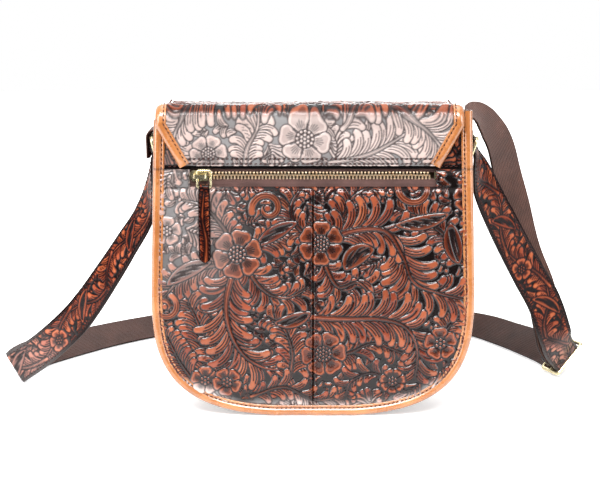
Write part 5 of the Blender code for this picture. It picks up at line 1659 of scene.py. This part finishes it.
def makeStrap():
    # the route widened into a tooled sheet and, on the same line, the webbing behind it
    route, across = strapRoute(1.0)
    length = lengthAlong(route)
    along = unit(np.gradient(route, axis=0))
    across = unit(across - along * np.sum(across * along, axis=1, keepdims=True))
    out = np.cross(across, along)
    field = toolStrap(strap["repeat"])
    u = np.linspace(-1, 1, 44)
    q = u * strap["width"] / 2
    values = tooling(field, *np.broadcast_arrays(length[:, None] % strap["repeat"], q), 0.0)
    # a faint painted sheen, pale colour standing in for reflection, towards the strap's low ends
    values["painted_sheen"] = 0.2 * (1 - smoothStep((route[:, 2:] + 8 * u - 16) / 42))
    border = smoothStep((strap["width"] / 2 - strap["border"] - np.abs(q)) / 0.7)
    values["relief"] = np.maximum(values["relief"] * border, 0.25 * (1 - border))
    values["line"] = values["line"] * border
    top = strapHalf - 0.25 + strap["relief"] * values["relief"] - 0.5 * np.abs(u) ** 14
    # cut at even stations: behind the bag, on the right ring's bar, and past the crest of the loop
    middle = int(np.argmax(route[:, 1])) // 2 * 2
    bar = middle + int(np.argmax(route[middle:, 2] > 229)) // 2 * 2
    crest = bar + int(np.argmax(route[bar:, 0] > 133)) // 2 * 2
    cuts = (("left", slice(0, middle + 1), ("bag", "strap_ring_left", (-131, 0, 197), (-131, 0, 229))),
            ("right", slice(middle, bar + 1), ("bag", "strap_ring_right", (133, 0, 197), (133, 0, 229))),
            ("rise", slice(bar, crest + 1), ("strap_ring_right", "bag", (129, 0, 230), (127, 0, 245))),
            ("loop", slice(crest, None), "bag"))
    v = np.linspace(-1, 1, 13) * (strap["width"] / 2 - strap["webbingInset"])
    for word, part, body in cuts:
        line, side, face = (way[part][:, None] for way in (route, across, out))
        outer = line + side * q[:, None] + face * top[part][..., None]
        inner = line + side * q[::4, None] + face * (strapHalf - strap["leather"])
        shown = {key: value[part] for key, value in values.items()}
        makeSheet(
            "strap_leather_" + word, outer, inner, strapTooled, body, ["strap_leather"],
            shown, crease=70,
        )
        under = (line + side * v[:, None] - face * strapHalf)[::2]
        over = under + face[::2] * strap["webbing"]
        ring = np.concatenate([under, over[:, ::-1]], axis=1)
        # the map leans, so that the ribs run slanting across the strap
        flat = np.stack(np.broadcast_arrays(length[part][::2, None] + 0.45 * v, v), -1)
        uv = np.concatenate([flat, flat[:, ::-1]], axis=1) / 1000
        wear = np.broadcast_to(0.75 * smoothStep((30 - line[::2, :, 2]) / 8), ring.shape[:2])
        makePiece(
            "strap_webbing_" + word, ring, tubeFaces(*ring.shape[:2]), webbing, body,
            ["strap_webbing"], {"wear": wear}, uv,
        )
        edge = strap["width"] / 2 - strap["stitch"]
        rows = [
            stitchRow((line + side * e + face * (strapHalf - 0.1))[:, 0], face[:, 0]) for e in (-edge, edge)
        ]
        makeStitches("strap_stitches_" + word, rows, body)


makeStrap()
roundWire(
    "strap_slide", glideCentre, glideAcross, glideAlong, strap["glideHalf"], glideReach,
    strap["glideCorner"], strap["glideWire"], "bag", "strap_slider", bar=True,
)
print("strap made")

# Floor, world and lamps
stage = {"floor": 2.6, "front": 0.26}


def makeFloor():
    count = 96
    angle = np.linspace(0, 2 * math.pi, count, endpoint=False)
    radii = np.array((0.02, 0.15, 0.4, 0.8, 1.4, stage["floor"]))
    x = radii[:, None] * np.cos(angle) * 1000
    y = radii[:, None] * np.sin(angle) * 1000
    y = np.maximum(y, -stage["front"] * 1000)
    grid = np.stack([x, y, 0 * x - 0.05], -1)
    mesh = bpy.data.meshes.new("floor")
    quads = gridFaces(len(radii), count, around=True)
    points = grid.reshape(-1, 3) / 1000
    mesh.from_pydata(points.tolist(), [], quads.tolist() + [list(range(count))[::-1]])
    mesh.update()
    floor = link(bpy.data.objects.new("floor", mesh))
    material, nodes, links, shader = newMaterial("pale_floor", 0.7, 0.0, 0.0, 0.1, 0.2)
    shader.inputs["Base Color"].default_value = (0.86, 0.86, 0.86, 1)
    glow = node(nodes, "Emission")
    place = node(nodes, "TexCoord").outputs["Object"]
    length = node(nodes, "VectorMath", operation="LENGTH")
    links.new(place, length.inputs[0])
    links.new(mapRange(nodes, links, length.outputs["Value"], 0.3, 0.75, 0.42, 1.0), glow.inputs["Strength"])
    path = node(nodes, "LightPath")
    add = node(nodes, "AddShader")
    choose = node(nodes, "MixShader")
    out = nodes["Material Output"]
    links.new(shader.outputs[0], add.inputs[0])
    links.new(glow.outputs[0], add.inputs[1])
    links.new(path.outputs["Is Camera Ray"], choose.inputs[0])
    links.new(shader.outputs[0], choose.inputs[1])
    links.new(add.outputs[0], choose.inputs[2])
    links.new(choose.outputs[0], out.inputs["Surface"])
    mesh.materials.append(material)


def makeWorld():
    # white to the camera and behind the bag; in front a soft grey below that brightens upward
    world = bpy.data.worlds.new("studio")
    bpy.context.scene.world = world
    world.use_nodes = True
    nodes, links = world.node_tree.nodes, world.node_tree.links
    nodes.clear()
    where = node(nodes, "TexCoord").outputs["Generated"]
    split = node(nodes, "SeparateXYZ")
    links.new(where, split.inputs[0])
    most = node(nodes, "Math", operation="MAXIMUM")
    links.new(mapRange(nodes, links, split.outputs["Z"], -0.1, 0.7, 0.05, 0.45), most.inputs[0])
    links.new(mapRange(nodes, links, split.outputs["Y"], -0.05, 0.5, 0.0, 0.9), most.inputs[1])
    dim = node(nodes, "Background", Color=(1, 1, 1, 1))
    links.new(most.outputs[0], dim.inputs["Strength"])
    white = node(nodes, "Background", Color=(1, 1, 1, 1), Strength=1.0)
    path = node(nodes, "LightPath")
    choose = node(nodes, "MixShader")
    links.new(path.outputs["Is Camera Ray"], choose.inputs[0])
    links.new(dim.outputs[0], choose.inputs[1])
    links.new(white.outputs[0], choose.inputs[2])
    links.new(choose.outputs[0], node(nodes, "OutputWorld").inputs[0])


def addPanelLight(name, place, target, size, radiance):
    # an area lamp of that radiance: its power is radiance times pi times its area
    lamp = bpy.data.lights.new(name, "AREA")
    lamp.shape = "RECTANGLE"
    lamp.size, lamp.size_y = size
    lamp.energy = radiance * math.pi * size[0] * size[1]
    made = link(bpy.data.objects.new(name, lamp))
    made.visible_camera = False
    aim(made, place, target)


makeFloor()
makeWorld()
addPanelLight("key_strip", (-0.25, -1.2, 1.4), (0, 0, 0.15), (1.5, 0.5), 22)
addPanelLight("left_wall", (-1.35, -0.7, 0.45), (0, 0, 0.12), (0.9, 1.0), 6)
addPanelLight("right_wall", (1.35, -0.7, 0.45), (0, 0, 0.12), (0.9, 1.0), 5)
addPanelLight("front_fill", (0, -2.1, 0.75), (0, 0, 0.15), (1.9, 0.9), 0.4)
addPanelLight("top_box", (0.1, 0.2, 1.5), (0, 0, 0.1), (1.2, 0.9), 2.0)
addPanelLight("back_box", (0, 1.9, 0.9), (0, 0, 0.12), (1.8, 0.9), 3.0)
bpy.context.scene.view_settings.view_transform = "Standard"

print("scene made")
